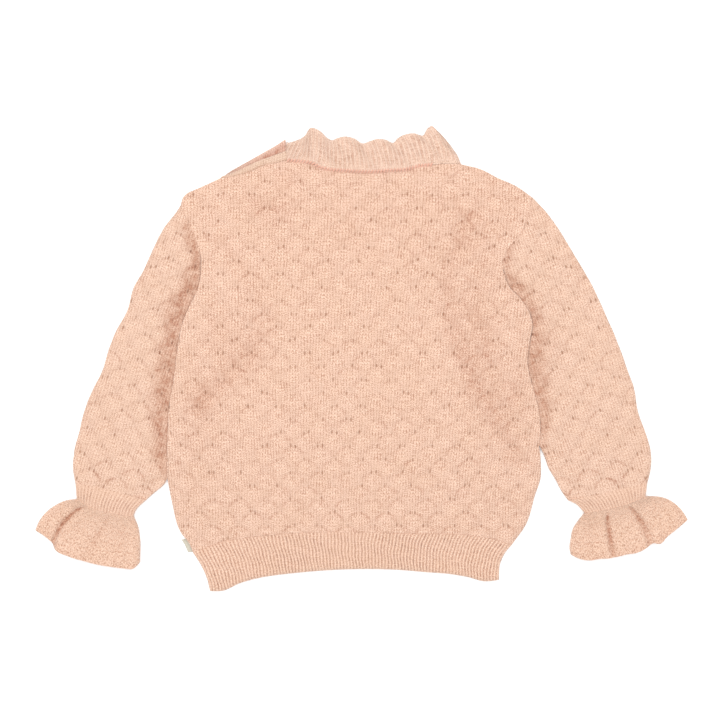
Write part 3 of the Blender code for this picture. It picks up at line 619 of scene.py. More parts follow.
def sleeve_lattice(x, y, beyond, side, size):
    """The same knitting, turned to a sleeve's own length. beyond is the way round past a fold."""
    out = side * x
    across = out * math.cos(SLEEVE_LEAN) + y * math.sin(SLEEVE_LEAN) + side * beyond
    down = out * math.sin(SLEEVE_LEAN) - y * math.cos(SLEEVE_LEAN)
    pitch = size["sleeve_bubble"]
    return Lattice(across / pitch, down / size["bubble_row"], pitch, size["bubble_row"])


def rib_count(patch, pitch):
    return 2 * round(patch.middle_size()[0] / pitch / 2)


def rib_crowns(ribs):
    """Two rounded ridges of stitches to a rib. The gap between two ribs is the deeper one."""
    ridge = np.abs(np.sin(2 * np.pi * ribs)) ** 0.6
    gap = np.cos(np.pi * ribs) ** 2
    return ridge * (1 - 0.2 * gap**2) + 0.2 * (1 - ridge) * gap


def round_crowns(ribs):
    """One rounded ridge to a rib."""
    return np.abs(np.cos(np.pi * ribs)) ** 0.6


# ---------------------------------------------------------------- shells
def add_skin(bm, columns, rows, side):
    """One side of a shell, as a grid whose vertices hold (share across, share along, side)."""
    verts = bmesh.ops.create_grid(bm, x_segments=columns, y_segments=rows, size=0.5)["verts"]
    bmesh.ops.translate(bm, verts=verts, vec=(0.5, 0.5, side))


def skin(bm, side):
    return [vert for vert in bm.verts if abs(vert.co.z - side) < 0.5]


def is_end(edge):
    """Whether an edge of a unit skin lies along its near or far end, rather than its sides."""
    first, second = edge.verts
    return abs(first.co.y - second.co.y) < 1e-6


def rim(bm, side):
    return [edge for edge in bm.edges if edge.is_boundary and abs(edge.verts[0].co.z - side) < 0.5]


def close_round(bm, side, rows):
    """Welds a skin's last column to its first, which makes it a tube."""
    verts = skin(bm, side)
    first = {round(vert.co.y * rows): vert for vert in verts if vert.co.x < 1e-6}
    last = [vert for vert in verts if vert.co.x > 1 - 1e-6]
    bmesh.ops.weld_verts(bm, targetmap={vert: first[round(vert.co.y * rows)] for vert in last})


def unit_shell(columns, rows, coarse=COARSER, is_tube=False):
    """A fine outer skin (side 1) and a coarser inner one (side 0), joined round their rims."""
    bm = bmesh.new()
    for side, divisor in ((1, 1), (0, coarse)):
        add_skin(bm, columns // divisor, rows // divisor, side)
        edges = [edge for edge in rim(bm, side) if is_end(edge) or not is_tube]
        if divisor > 1:
            bmesh.ops.subdivide_edges(bm, edges=edges, cuts=divisor - 1, use_single_edge=True)
        if is_tube:
            close_round(bm, side, rows // divisor)
    made = bmesh.ops.extrude_edge_only(bm, edges=rim(bm, 1))["geom"]
    for vert in (part for part in made if isinstance(part, bmesh.types.BMVert)):
        vert.co.z = 0
    bmesh.ops.remove_doubles(bm, verts=skin(bm, 0), dist=1e-5)
    bmesh.ops.recalc_face_normals(bm, faces=bm.faces)
    return bm


class Cloth:
    """What a place function gives: where points are, in mm, and what the material reads there."""

    def __init__(self, x, y, z, stitches, lattice=None, hollow=0.0):
        self.spots = np.array([(x - PLAN_MIDDLE[0]) * MM, (y - PLAN_MIDDLE[1]) * MM, z * MM]).T
        self.stitches = np.broadcast_to(np.array(stitches), (2, len(x))).T
        self.lattice = np.array((np.zeros_like(x), np.zeros_like(x)) if lattice is None else lattice).T
        self.hollow = np.clip(np.broadcast_to(hollow, x.shape), 0, 1)


def read_array(items, attribute, count, kind=np.float64):
    """One attribute of every vertex, loop or face of a mesh."""
    values = np.empty(count * len(items), kind)
    items.foreach_get(attribute, values)
    return values


def face_shares(mesh, unit):
    """Each face corner's shares across and along, where a tube's last column ends at 1, and not at 0."""
    corners = read_array(mesh.loops, "vertex_index", 1, np.int32)
    starts = read_array(mesh.polygons, "loop_start", 1, np.int32)
    totals = read_array(mesh.polygons, "loop_total", 1, np.int32)
    across, along = unit[corners, 0].copy(), unit[corners, 1]
    widest = np.repeat(np.maximum.reduceat(across, starts), totals)
    across[(widest - across > 0.5) & (across < 0.25)] += 1
    return across, along, unit[corners, 2] > 0.5


def signed_volume(mesh):
    mesh.calc_loop_triangles()
    faces = read_array(mesh.loop_triangles, "vertices", 3, np.int32).reshape(-1, 3)
    spots = read_array(mesh.vertices, "co", 3).reshape(-1, 3)
    a, b, c = spots[faces].transpose(1, 0, 2)
    return np.einsum("ij,ij->", a, np.cross(b, c))


def shell_mesh(name, bm, place):
    """Turns a unit shell into cloth. place(across, along, is_outer) gives the Cloth at those shares."""
    mesh = bpy.data.meshes.new(name)
    bm.to_mesh(mesh)
    bm.free()
    unit = read_array(mesh.vertices, "co", 3).reshape(-1, 3)
    cloth = place(unit[:, 0], unit[:, 1], unit[:, 2] > 0.5)
    mesh.vertices.foreach_set("co", cloth.spots.ravel())
    if signed_volume(mesh) < 0:
        mesh.flip_normals()
    # hollow: how much painted shade the material multiplies in at each point
    hollow = mesh.attributes.new("hollow", "FLOAT", "POINT")
    hollow.data.foreach_set("value", cloth.hollow.astype(np.float32))
    on_faces = place(*face_shares(mesh, unit))
    for layer, values in (("stitches", on_faces.stitches), ("lattice", on_faces.lattice)):
        made = mesh.uv_layers.new(name=layer)
        made.uv.foreach_set("vector", values.astype(np.float32).ravel())
    mesh.shade_smooth()
    mesh.set_sharp_from_angle(angle=SHARP_FROM)
    mesh.update()
    return mesh


def link(name, data):
    made = bpy.data.objects.new(name, data)
    bpy.context.scene.collection.objects.link(made)
    return made


def piece(mesh, material, slot, *stands_for):
    mesh.materials.append(material)
    made = link(mesh.name, mesh)
    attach(made, "root")
    if stands_for:
        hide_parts(*stands_for)
    return made


def sheet(made, patch, fold_radius=0.0):
    """Works out the size and area of the cloth of one layer, or of the two layers and the two folds of a
    pressed tube, and uses none of it.
    """
    shares = np.linspace(0, 1, 21)
    width, length = (float(measure(shares).max()) for measure in (patch.width, patch.length))
    layers, folds = 2 if fold_radius else 1, 2 * math.pi * fold_radius
    girth = layers * width + folds
    area = min(layers * patch.area() + folds * length, girth * length)


# ---------------------------------------------------------------- shader nodes
def maths(operation, turned=False):
    """A method that puts a wire, and any other value, through a Math node."""

    def method(self, *others):
        values = (*others, self) if turned else (self, *others)
        node = add_node(self.tree, "ShaderNodeMath", {"operation": operation}, dict(enumerate(values)))
        return Wire(self.tree, node.outputs[0])

    return method


class Wire:
    """A socket of a material's nodes, which Python's operators work on."""

    def __init__(self, tree, socket):
        self.tree, self.socket = tree, socket

    __add__ = __radd__ = maths("ADD")
    __sub__ = maths("SUBTRACT")
    __rsub__ = maths("SUBTRACT", turned=True)
    __mul__ = __rmul__ = maths("MULTIPLY")
    __pow__ = maths("POWER")
    __abs__ = maths("ABSOLUTE")
    floor = maths("FLOOR")
    fraction = maths("FRACT")
    cosine = maths("COSINE")
    is_above = maths("GREATER_THAN")

    def smooth(self, low, high):
        """0 at low and 1 at high, with an even slope at both."""
        node = add_node(
            self.tree,
            "ShaderNodeMapRange",
            {"interpolation_type": "SMOOTHSTEP"},
            {"Value": self, "From Min": low, "From Max": high},
        )
        return Wire(self.tree, node.outputs[0])


def feed(tree, socket, value):
    if isinstance(value, Wire):
        tree.links.new(value.socket, socket)
    else:
        socket.default_value = value


def add_node(tree, kind, settings=None, sockets=None):
    """A node with its settings, and then the values or links of its sockets, by name or place."""
    node = tree.nodes.new(kind)
    for name, value in (settings or {}).items():
        setattr(node, name, value)
    for name, value in (sockets or {}).items():
        feed(tree, node.inputs[name], value)
    return node


class Finish:
    """A material under construction, on one Principled shader."""

    def __init__(self, name, roughness, sheen):
        self.material = bpy.data.materials.new(name)
        self.material.use_nodes = True
        self.tree = self.material.node_tree
        self.shader = self.tree.nodes["Principled BSDF"]
        self.shader.inputs["Roughness"].default_value = roughness
        self.shader.inputs["Sheen Weight"].default_value = sheen
        self.shader.inputs["Sheen Roughness"].default_value = 0.5
        self.shader.inputs["Specular IOR Level"].default_value = 0.15

    def wire(self, kind, settings=None, sockets=None, output=0):
        """What one output of a new node gives."""
        return Wire(self.tree, add_node(self.tree, kind, settings, sockets).outputs[output])

    def uv(self, layer):
        placed = self.wire("ShaderNodeUVMap", {"uv_map": layer})
        apart = add_node(self.tree, "ShaderNodeSeparateXYZ", None, {"Vector": placed})
        return Wire(self.tree, apart.outputs[0]), Wire(self.tree, apart.outputs[1])

    def attribute(self, name):
        return self.wire("ShaderNodeAttribute", {"attribute_name": name}, output="Fac")

    def noise(self, scale, detail=2.0, roughness=0.5, spot=None):
        """Noise about the middle of 0 to 1, in the piece's own metres or at a spot."""
        spot = spot or self.wire("ShaderNodeTexCoord", output="Object")
        sockets = {"Vector": spot, "Scale": scale, "Detail": detail, "Roughness": roughness}
        return self.wire("ShaderNodeTexNoise", None, sockets, "Fac")

    def wander(self, scale, by):
        """Noise of that scale about nought."""
        return (self.noise(scale) - 0.5) * by

    def spot(self, a, b):
        return self.wire("ShaderNodeCombineXYZ", None, {"X": a, "Y": b})

    def flecks(self, a, b):
        """Plain noise, a cell of which is about 1 wide in a and b."""
        return self.noise(1.0, 0.0, spot=self.spot(a, b))

    def chance(self, a, b):
        """A fixed number from 0 to 1 for each pair of whole numbers."""
        sockets = {"Vector": self.spot(a, b)}
        return self.wire("ShaderNodeTexWhiteNoise", {"noise_dimensions": "2D"}, sockets, "Value")

    def mix(self, share, first, second, blend="MIX"):
        full = (value if isinstance(value, Wire) else (*value, 1) for value in (first, second))
        sockets = dict(zip((MIX_FACTOR, MIX_FIRST, MIX_SECOND), (share, *full)))
        settings = {"data_type": "RGBA", "blend_type": blend}
        return self.wire("ShaderNodeMix", settings, sockets, MIX_RESULT)

    def done(self, colour, height, distance):
        """Feeds the shader its colour, and a bump of that height in metres."""
        sockets = {"Strength": 1.0, "Distance": distance, "Height": height}
        feed(self.tree, self.shader.inputs["Base Color"], colour)
        feed(self.tree, self.shader.inputs["Normal"], self.wire("ShaderNodeBump", None, sockets))
        return self.material


# ---------------------------------------------------------------- materials
MIX_FACTOR, MIX_FIRST, MIX_SECOND, MIX_RESULT = 0, 6, 7, 2  # a colour Mix node's sockets
FULL_TURN = 2 * math.pi

# How a yarn's colour turns in the painted shade between its stitches and the painted light on their
# crowns, and where its dye is duller.
GAP_SHADE_TINT = (0.66, 0.55, 0.50)
LIT_TINT = (1.20, 1.28, 1.32)
DULL_TINT = (0.97, 0.95, 0.91)
THREAD_TINT = (0.86, 0.78, 0.74)
TAPE_TINT = (0.86, 0.86, 0.86)


def tinted(colour, tint):
    return tuple(min(1.0, c * t) for c, t in zip(colour, tint))


def knit_stitches(finish, u, v):
    """Columns of V-shaped stitches: how far they stand up, and how light each spot is about 0.5, with
    painted light on the legs, painted shade between them and in specks, and a random tone to each
    stitch.
    """
    column = u + finish.wander(90.0, 0.3) + finish.wander(380.0, 0.4)
    beside = abs(column.fraction() - 0.5) * 2
    leg = 1 - beside.smooth(0.3, 1.0) - 0.3 * (1 - beside.smooth(0.0, 0.3))
    rise = v + finish.wander(110.0, 0.5) - beside * 0.55
    bulge = 0.5 + 0.5 * (rise * FULL_TURN).cosine()
    own = finish.chance(column.floor(), (rise + 0.5).floor())
    speck = own.smooth(0.7, 1.0) * (1 - leg.smooth(0.3, 0.9))
    light = (leg - 0.55) * 0.24 + (bulge - 0.5) * 0.34 + (0.5 - own) * 0.08 - speck * 0.5
    return leg * (0.45 + 0.55 * bulge), 0.52 + light


def rib_stitches(finish, u, v):
    """Knit columns that stand side by side, so that the painted shade in the lines between them shows
    more than the rows.
    """
    height, light = knit_stitches(finish, u, v)
    column = (u.fraction() - 0.5) * 2
    return height, 0.46 + (light - 0.5) * 0.65 + (0.5 - column**2) * 0.25


def purl_stitches(finish, u, v):
    """The reverse side: rounded bumps that lie unevenly, painted lighter on top, with dark specks of
    painted shade between some of them.
    """
    sockets = {"Vector": finish.spot(u, v), "Scale": 1.0, "Randomness": 0.75}
    away = finish.wire("ShaderNodeTexVoronoi", {"voronoi_dimensions": "2D"}, sockets, "Distance")
    pebble = 1 - away.smooth(0.0, 0.6)
    speck = finish.flecks(u * 1.7 + 9.0, v * 1.5).smooth(0.58, 0.7)
    patchy = finish.flecks(u * 0.5, v * 0.45 + 5.0) - 0.5
    return pebble, 0.63 + (pebble - 0.4) * 0.4 + patchy * 0.3 - speck * 0.5


def eyelet_dots(finish):
    """Pairs of dark dots at the corners of the bubbles, painted as the eyelets' shadow, some more open
    than others.
    """
    size = sizes()
    rising, falling = finish.uv("lattice")
    knots = (rising + 0.5).floor(), (falling + 0.5).floor()
    a, b = rising - knots[0], falling - knots[1]
    x = (a + b) * (0.5 * size["sleeve_bubble"])
    open_share = finish.chance(knots[0] + x.is_above(0.0) * 0.5, knots[1])
    aside = finish.chance(knots[1], knots[0]) - 0.5
    y = (a - b) * size["bubble_row"] + (open_share - 0.5) * 2.0 + aside * 0.8 * x
    away = (abs(x + aside * 0.7) - EYELET_APART) ** 2 + y**2 * 0.3
    return (1 - away.smooth(0.0, 0.9)) * (0.05 + 0.85 * open_share)


def yarn(name, dye, stitch, eyelets=False, crisp=1.0):
    """Knitted wool: lit stitches, shaded gaps and hollows, loose fibres, and an uneven dye."""
    colour = colour_of(dye)
    finish = Finish(name, 0.9, 0.25)
    u, v = finish.uv("stitches")
    height, light = stitch(finish, u, v)
    fibre = finish.flecks(u * 4.1, v * 1.9) - 0.5
    light = 0.5 + (light - 0.5 + fibre * 1.5) * crisp
    # painted light and shade of the stitches: the yarn's colour between its painted shade in the gaps
    # and its painted highlight on the crowns
    base = finish.mix(light.smooth(-0.05, 1.05), tinted(colour, GAP_SHADE_TINT), tinted(colour, LIT_TINT))
    dull = finish.noise(70.0, 3.0).smooth(0.3, 0.7)
    base = finish.mix(dull * 0.45, base, DULL_TINT, "MULTIPLY")
    # painted shade of the hollows, from the mesh's hollow attribute, made uneven
    broken = finish.noise(260.0, 2.0, 0.7).smooth(0.35, 0.65)
    hollow = finish.attribute("hollow") * (0.55 + broken * 0.9)
    relief = height + fibre * 0.3
    if eyelets:
        # painted shadow in the eyelets, also pressed into the bump
        hole = eyelet_dots(finish)
        base = finish.mix(hole, base, colour_of("eyelet"))
        relief = relief - hole
    # multiplies the painted shade of the hollows into the colour
    base = finish.mix(hollow, base, colour_of("hollow"), "MULTIPLY")
    return finish.done(base, relief, YARN_BUMP)


def tape(name, dye):
    """A blank woven tape, of fine threads across each other."""
    colour = colour_of(dye)
    finish = Finish(name, 0.7, 0.1)
    u, v = finish.uv("stitches")
    weave = (u * FULL_TURN).cosine() * (v * FULL_TURN).cosine() * 0.5 + 0.5
    return finish.done(finish.mix(weave * 0.6, tinted(colour, TAPE_TINT), colour), weave, TAPE_BUMP)


def thread(name, dye):
    """Plied sewing yarn."""
    colour = colour_of(dye)
    finish = Finish(name, 0.85, 0.3)
    ply = finish.noise(1800.0, 3.0, 0.7)
    base = finish.mix(ply.smooth(0.35, 0.65), tinted(colour, THREAD_TINT), colour)
    return finish.done(base, ply, THREAD_BUMP)


def floor_finish():
    finish = Finish("floor_white", 0.95, 0.0)
    grain = finish.noise(400.0)
    return finish.done(finish.mix(grain, (0.96, 0.96, 0.96), (0.98, 0.98, 0.98)), grain, FLOOR_BUMP)


# ---------------------------------------------------------------- layers that lie on each other
Relief = namedtuple("Relief", "height stitches lattice hollow", defaults=(None, 0.0))


def crowd(share, count, size):
    """Draws the outermost columns or rows towards their edge, to these distances from it."""
    near = np.array(RIM_MARKS) / size
    steps = len(RIM_MARKS)
    columns = (*range(steps), *range(count - steps + 1, count + 1))
    return np.interp(share * count, columns, (*near, *(1 - near[::-1])))


def spread(patch, grid, across, along):
    """The plan's x and y at the shares of a grid, and those shares with its rim drawn in."""
    width, length = patch.middle_size()
    across, along = crowd(across, grid[0], width), crowd(along, grid[1], length)
    return (*patch.cut(across, along), across, along)


def upper_layer(name, patch, grid, relief, side_share, near_share, far_share, loft=LOFT):
    """The mesh of a layer that lies on another. relief(x, y, across, along) gives its Relief.

    The shares say how much of its height it keeps at its sides and its ends, and loft is the room
    under it. Each is a number or a function of x and y.
    """

    def place(across, along, is_outer):
        x, y, across, along = spread(patch, grid, across, along)
        at_side, at_near, at_far, lift = (
            value(x, y) if callable(value) else value
            for value in (side_share, near_share, far_share, loft)
        )
        wide, tall = patch.width(along), patch.length(across)
        crown = edge_height(at_side, np.minimum(across, 1 - across) * wide, EDGE_ROLL)
        crown = crown * edge_height(at_near, along * tall, END_ROLL)
        crown = crown * edge_height(at_far, (1 - along) * tall, END_ROLL)
        made = relief(x, y, across, along)
        outer = RIM_TOP + crown * (UPPER_FLOOR + UPPER_WALL + lift - RIM_TOP + made.height)
        inner = RIM_LOW + crown * (UPPER_FLOOR + lift - RIM_LOW)
        return Cloth(x, y, np.where(is_outer, outer, inner), *made[1:])

    return shell_mesh(name, unit_shell(*grid), place)


def under_layer(name, patch, grid, relief):
    """The mesh of a layer on the floor: its outer side faces down, its crowns pressed flat."""

    def place(across, along, is_outer):
        x, y, across, along = spread(patch, grid, across, along)
        side = np.minimum(across, 1 - across) * patch.width(along)
        end = np.minimum(along, 1 - along) * patch.length(across)
        turned = 1 - quarter_round(np.minimum(side, end), UNDER_ROLL)
        made = relief(x, y, across, along)
        outer = np.maximum(turned * UNDER_RIM, made.height)
        inner = UNDER_WALL - UNDER_THINNING * turned
        return Cloth(x, y, np.where(is_outer, outer, inner), *made[1:])

    return shell_mesh(name, unit_shell(*grid), place)


# ---------------------------------------------------------------- pressed tubes
# Where a tube's look is asked for: the spot of the top layer, or of the fold that it lies past.
Surface = namedtuple("Surface", "x y share along beyond width")
# What it looks like: the top layer's lift, the relief above, beside and below, and the material's.
Look = namedtuple("Look", "lift raised pushed pits stitches lattice hollow")


class Tube:
    """A tube of cloth pressed flat. Its columns run from the middle of its underside round to it."""

    def __init__(self, patch, girth, radius):
        self.patch, self.radius = patch, radius
        half = girth.low // 2
        self.columns = girth.top + 2 * girth.fold + 2 * half
        self.marks = np.cumsum([0, half, girth.fold, girth.top, girth.fold, half])

    def section(self, around, along):
        """The share across, the angle round a fold, the width, and the way round from the top."""
        across = np.interp(around * self.columns, self.marks, (0, 1, 1, -1, -1, 0))
        angle = np.interp(around * self.columns, self.marks, (-90, -90, 90, 90, 270, 270))
        width = self.patch.width(along)
        turned = np.radians(np.where(around < 0.5, 90 - angle, angle - 90))
        past = np.where(turned > 3.1, (1 - np.abs(across)) * (width / 2 - self.radius), 0.0)
        return across, np.radians(angle), width, np.sign(0.5 - around) * (self.radius * turned + past)

    def made(self, name, rows, dress, material, slot, node, held="laid"):
        """Makes the piece. dress(surface) gives its Look."""

        def place(around, along, is_outer):
            across, angle, width, beyond = self.section(around, along)
            flat = width / 2 - self.radius
            top = np.where(beyond == 0, across, np.sign(beyond))
            share = 0.5 + top * flat / width
            look = dress(Surface(*self.patch.cut(share, along), share, along, beyond, width))
            inner = self.radius - UPPER_WALL
            reach = np.where(is_outer, self.radius + look.pushed * np.abs(np.cos(angle)), inner)
            x, y = self.patch.cut(0.5 + (across * flat + reach * np.cos(angle)) / width, along)
            up, down = np.maximum(0.0, np.sin(angle)), np.maximum(0.0, -np.sin(angle))
            up = np.where(is_outer, up**FOLD_FULLNESS, up)
            z = self.radius + np.where(is_outer, self.radius, inner) * (up - down) + up * look.lift
            z += np.where(is_outer, up * look.raised + down * look.pits, 0.0)
            return Cloth(x, y, z, look.stitches, look.lattice, look.hollow)

        mesh = shell_mesh(name, unit_shell(self.columns, rows, is_tube=True), place)
        sheet(piece(mesh, material, slot, node), self.patch, self.radius)


# ---------------------------------------------------------------- the body
def back_mesh(patch, size):
    def relief(x, y, across, along):
        lattice = body_lattice(x, y, size)
        height = size["bubble_height"] * lattice.crowns() + DRIFT_HEIGHT * drift(x, y)
        height = height - EYELET_DEPTH * lattice.eyelets()
        # painted shade in the troughs, on the parts in SHADES and in the creases over the bubbles,
        # deeper lower down; none at the sides
        shade = 0.75 * trough_depth(x, y) ** 1.2 + turned_away(x, y)
        arch_dark = 0.24 + 0.1 * shade + 0.17 * ease(y, *LOW_BODY)
        hollow = 0.05 + 0.33 * shade + arch_dark * lattice.arches()
        hollow *= 1 - bell(np.minimum(across, 1 - across) * patch.width(along), LIT_SIDE)
        return Relief(height, lattice.stitches(size), lattice.corners, hollow)

    def side_share(x, y):
        sleeve_seam = np.where(x < 0, between(y, *LEFT_ARMHOLE_HOLD), between(y, *RIGHT_ARMHOLE_HOLD))
        return np.maximum(SIDE_SHARE * between(y, *SIDE_FOLD_HOLD), ARMHOLE_SHARE * sleeve_seam)

    def far_share(x, y):
        return SEAM_SHARE * between(x, *NECK_HOLD)

    def loft(x, y):
        return LOFT - trough_depth(x, y)

    shares = (side_share, HEM_SEAM_SHARE, far_share)
    return upper_layer("back_knit", patch, BACK_GRID, relief, *shares, loft)


def front_mesh(patch, size):
    def relief(x, y, across, along):
        lattice = body_lattice(x, y, size)
        height = 0.7 * np.maximum(0, 1 - 1.6 * lattice.crowns()) + 0.6 * lattice.eyelets()
        return Relief(height, lattice.stitches(size), lattice.corners)

    return under_layer("front_knit", patch, FRONT_GRID, relief)


class PULLOVER_OT_body(bpy.types.Operator):
    """Knits the back and the front of the body"""

    bl_idname = "pullover.body"
    bl_label = "Body"

    def execute(self, context):
        size = sizes()
        knit = yarn("openwork_knit", "body", knit_stitches, eyelets=True)
        back_patch = body_patch(BACK_PLACKET_SEAM, BACK_NECK)
        front_patch = body_patch(FRONT_PLACKET_SEAM, FRONT_NECK)
        back = piece(back_mesh(back_patch, size), knit, "body_knit", "back")
        front = piece(front_mesh(front_patch, size), knit, "body_knit", "front")
        sheet(back, back_patch)
        sheet(front, front_patch)
        return {"FINISHED"}


class PULLOVER_OT_hem(bpy.types.Operator):
    """Knits the ribbed band round the hem"""

    bl_idname = "pullover.hem"
    bl_label = "Hem Band"

    def execute(self, context):
        size = sizes()
        knit = yarn("hem_rib", "rib", rib_stitches, crisp=0.82)
        patch = Patch(HEM_BOTTOM, HEM_TOP, HEM_LEFT, HEM_RIGHT)
        count = rib_count(patch, size["rib"])
        length = patch.middle_size()[1]

        def ribbed(x, y, across, along):
            ribs = (across + 0.0012 * np.sin(y / 2.3 + 40 * across)) * count
            crown = rib_crowns(ribs)
            stitches = (2 * ribs, along * length / size["course"])
            # painted shade between the ribs
            return Relief(size["rib_height"] * crown, stitches, None, 0.3 * (1 - crown) ** 1.5)

        def pressed(*spot):
            made = ribbed(*spot)
            return made._replace(height=0.7 * (1 - made.height / size["rib_height"]))

        shares = (0.0, FREE_END_SHARE, HEM_SEAM_SHARE)
        grid = (UPPER_RIB_COLUMNS * count, HEM_ROWS[0])
        mesh = upper_layer("hem_back_rib", patch, grid, ribbed, *shares)
        sheet(piece(mesh, knit, "rib", "hem_band_back"), patch)
        grid = (UNDER_RIB_COLUMNS * count, HEM_ROWS[1])
        mesh = under_layer("hem_front_rib", patch, grid, pressed)
        sheet(piece(mesh, knit, "rib", "hem_band_front"), patch)
        return {"FINISHED"}


class PULLOVER_OT_collar(bpy.types.Operator):
    """Knits the scalloped collar, back and front"""

    bl_idname = "pullover.collar"
    bl_label = "Collar"

    def execute(self, context):
        size = sizes()
        knit = yarn("collar_knit", "collar", knit_stitches, crisp=0.8)
        patch = Patch(BACK_NECK, BACK_COLLAR_TOP, BACK_COLLAR_LEFT, BACK_COLLAR_RIGHT)
        front_patch = strip(FRONT_NECK, FRONT_COLLAR_TOP)
        count = rib_count(patch, size["collar_rib"])
        length = patch.middle_size()[1]

        def stitches(ribs, along):
            return 2 * ribs + 0.5, along * length / size["course"]

        def ribbed(x, y, across, along):
            wander = across + 0.002 * np.sin(y / 3.1 + 60 * across)
            ribs = (wander - 0.06 * along * (1 - ease(across, 0.0, 0.6))) * count
            crown = 1 + (round_crowns(ribs) - 1) * ease(along, 0.0, 0.2)
            own = 0.5 + 0.5 * chance(np.floor(ribs), 5.0)
            wave = 0.5 * np.sin(2 * np.pi * (x + 10) / COLLAR_WAVE) * ease(along, 0.5, 1.0)
            # painted shade between the ribs, paler towards the top, and a little deeper towards the
            # seam, unevenly
            hollow = 0.75 * own * (1 - crown) ** 1.2 * (1 - 0.6 * ease(along, 0.7, 1.0))
            hollow += 0.03 * (1 - ease(along, 0.1, 0.9)) * (1 + 0.6 * drift(4 * x, 3 * y))
            return Relief(size["collar_rib_height"] * crown + wave, stitches(ribs, along), None, hollow)

        def pressed(x, y, across, along):
            pit = 1 - round_crowns(across * count)
            # painted shade in the pits between the ribs
            return Relief(0.5 * pit, stitches(across * count, along), None, 0.6 * pit**1.5)

        def left_share(x, y):
            return 0.9 * (1 - ease(x, *COLLAR_OVERLAP))

        shares = (left_share, SEAM_SHARE, FREE_END_SHARE)
        grid = (UPPER_RIB_COLUMNS * count, COLLAR_ROWS[0])
        mesh = upper_layer("collar_back_knit", patch, grid, ribbed, *shares)
        sheet(piece(mesh, knit, "collar_rib", "collar_back"), patch)
        grid = (UNDER_RIB_COLUMNS * count, COLLAR_ROWS[1])
        mesh = under_layer("collar_front_knit", front_patch, grid, pressed)
        sheet(piece(mesh, knit, "collar_rib", "collar_front"), front_patch)
        return {"FINISHED"}


class PULLOVER_OT_plackets(bpy.types.Operator):
    """Knits the two edges of the shoulder opening"""

    bl_idname = "pullover.plackets"
    bl_label = "Shoulder Opening"

    def execute(self, context):
        size = sizes()
        near_knit = yarn("placket_knit", "placket", knit_stitches, crisp=0.6)
        far_knit = yarn("far_placket_knit", "far_placket", knit_stitches, crisp=0.6)

        def near_edge(x, y, across, along):
            way, up = across * PLACKET_LENGTH, along * PLACKET_WIDTH
            # painted shade in a dotted line along the seam
            dots = 0.5 + 0.5 * np.sin(2 * np.pi * way / THREAD_STITCH)
            stitches = (way / size["wale"], up / size["course"])
            return Relief(np.zeros_like(x), stitches, None, 0.9 * dots * bell(up, 1.0))

        def far_edge(x, y, across, along):
            # painted shade in the channel under the near edge, deeper towards the collar, paler at its
            # very end and towards the top
            depth = 0.2 + 0.5 * ease(across, 0.2, 0.8) - 0.4 * ease(across, 0.88, 0.97)
            hollow = depth * (1 - 0.9 * ease(along, 0.5, 0.85))
            return near_edge(x, y, across, along)._replace(hollow=hollow)

        def loft(x, y):
            return 0.4 + 0.8 * ease(x, -80, -54)

        def end_share(x, y):
            return 0.4 + 0.5 * ease(x, -75, -54)

        patch = strip(BACK_PLACKET_SEAM, BACK_PLACKET_TOP)
        shares = (end_share, SEAM_SHARE, 0.1)
        mesh = upper_layer("placket_back_knit", patch, PLACKET_GRID, near_edge, *shares, loft)
        piece(mesh, near_knit, "placket", "placket_back")
        patch = strip(FRONT_PLACKET_SEAM, FRONT_PLACKET_TOP)
        mesh = under_layer("placket_front_knit", patch, PLACKET_GRID, far_edge)
        piece(mesh, far_knit, "placket", "placket_front")
        return {"FINISHED"}


# ---------------------------------------------------------------- the sleeves and their ends
def sleeve_dress(patch, side, size):
    length = patch.middle_size()[1]
    slope = np.array(LEFT_SLOPE if side < 0 else RIGHT_SLOPE, float)
    deepest = SLEEVE_SLOPE_SHADE[0] if side < 0 else SLEEVE_SLOPE_SHADE[1]

    def dress(at):
        lattice = sleeve_lattice(at.x, at.y, at.beyond, side, size)
        crown, eyelets = lattice.crowns(), lattice.eyelets()
        inward = (1 - at.share) * at.width
        from_cuff, from_armhole = at.along * length, (1 - at.along) * length

        near_body = np.maximum(0.0, 1 - inward / SLUMP_REACH)
        sunk = SLEEVE_SLUMP * near_body * near_body * (3 - 2 * near_body)
        sunk *= ease(from_armhole, 2.0, 16.0)
        seam = SLEEVE_SEAM_DEPTH * bell(from_armhole, 3.0)
        lift = DRIFT_HEIGHT * drift(at.x, at.y) * ease(from_cuff, 0.0, 20.0) - sunk - seam
        fade = ease(from_cuff, 0.0, 9.0)
        raised = size["bubble_height"] * (crown * fade + 0.3 * (1 - fade))
        raised -= EYELET_DEPTH * eyelets * fade

        # painted shade on the sleeve's slope beside the body and at the armhole, and in the creases over
        # the bubbles, more where it is gathered near the cuff
        reach = np.interp(at.y, *slope.T)
        uneven = 0.85 + 0.12 * drift(2.3 * at.x, 2.1 * at.y) + 0.15 * (crown - 0.5)
        away = np.minimum(inward, from_armhole)
        shaded = np.exp(-((away / reach * uneven) ** 4)) * ease(reach, 0.0, 8.0)
        shaded *= 0.5 + 0.5 * ease(away, 0.0, 6.0)
        gathered = 1 - ease(from_cuff, 8.0, 30.0)
        hollow = (deepest - 0.2 * crown) * shaded + (0.3 + 0.5 * gathered) * lattice.arches()
        pits = 0.6 * np.maximum(0, 1 - 1.6 * crown)
        return Look(lift, raised, 0.8 * crown, pits, lattice.stitches(size), lattice.corners, hollow)

    return dress


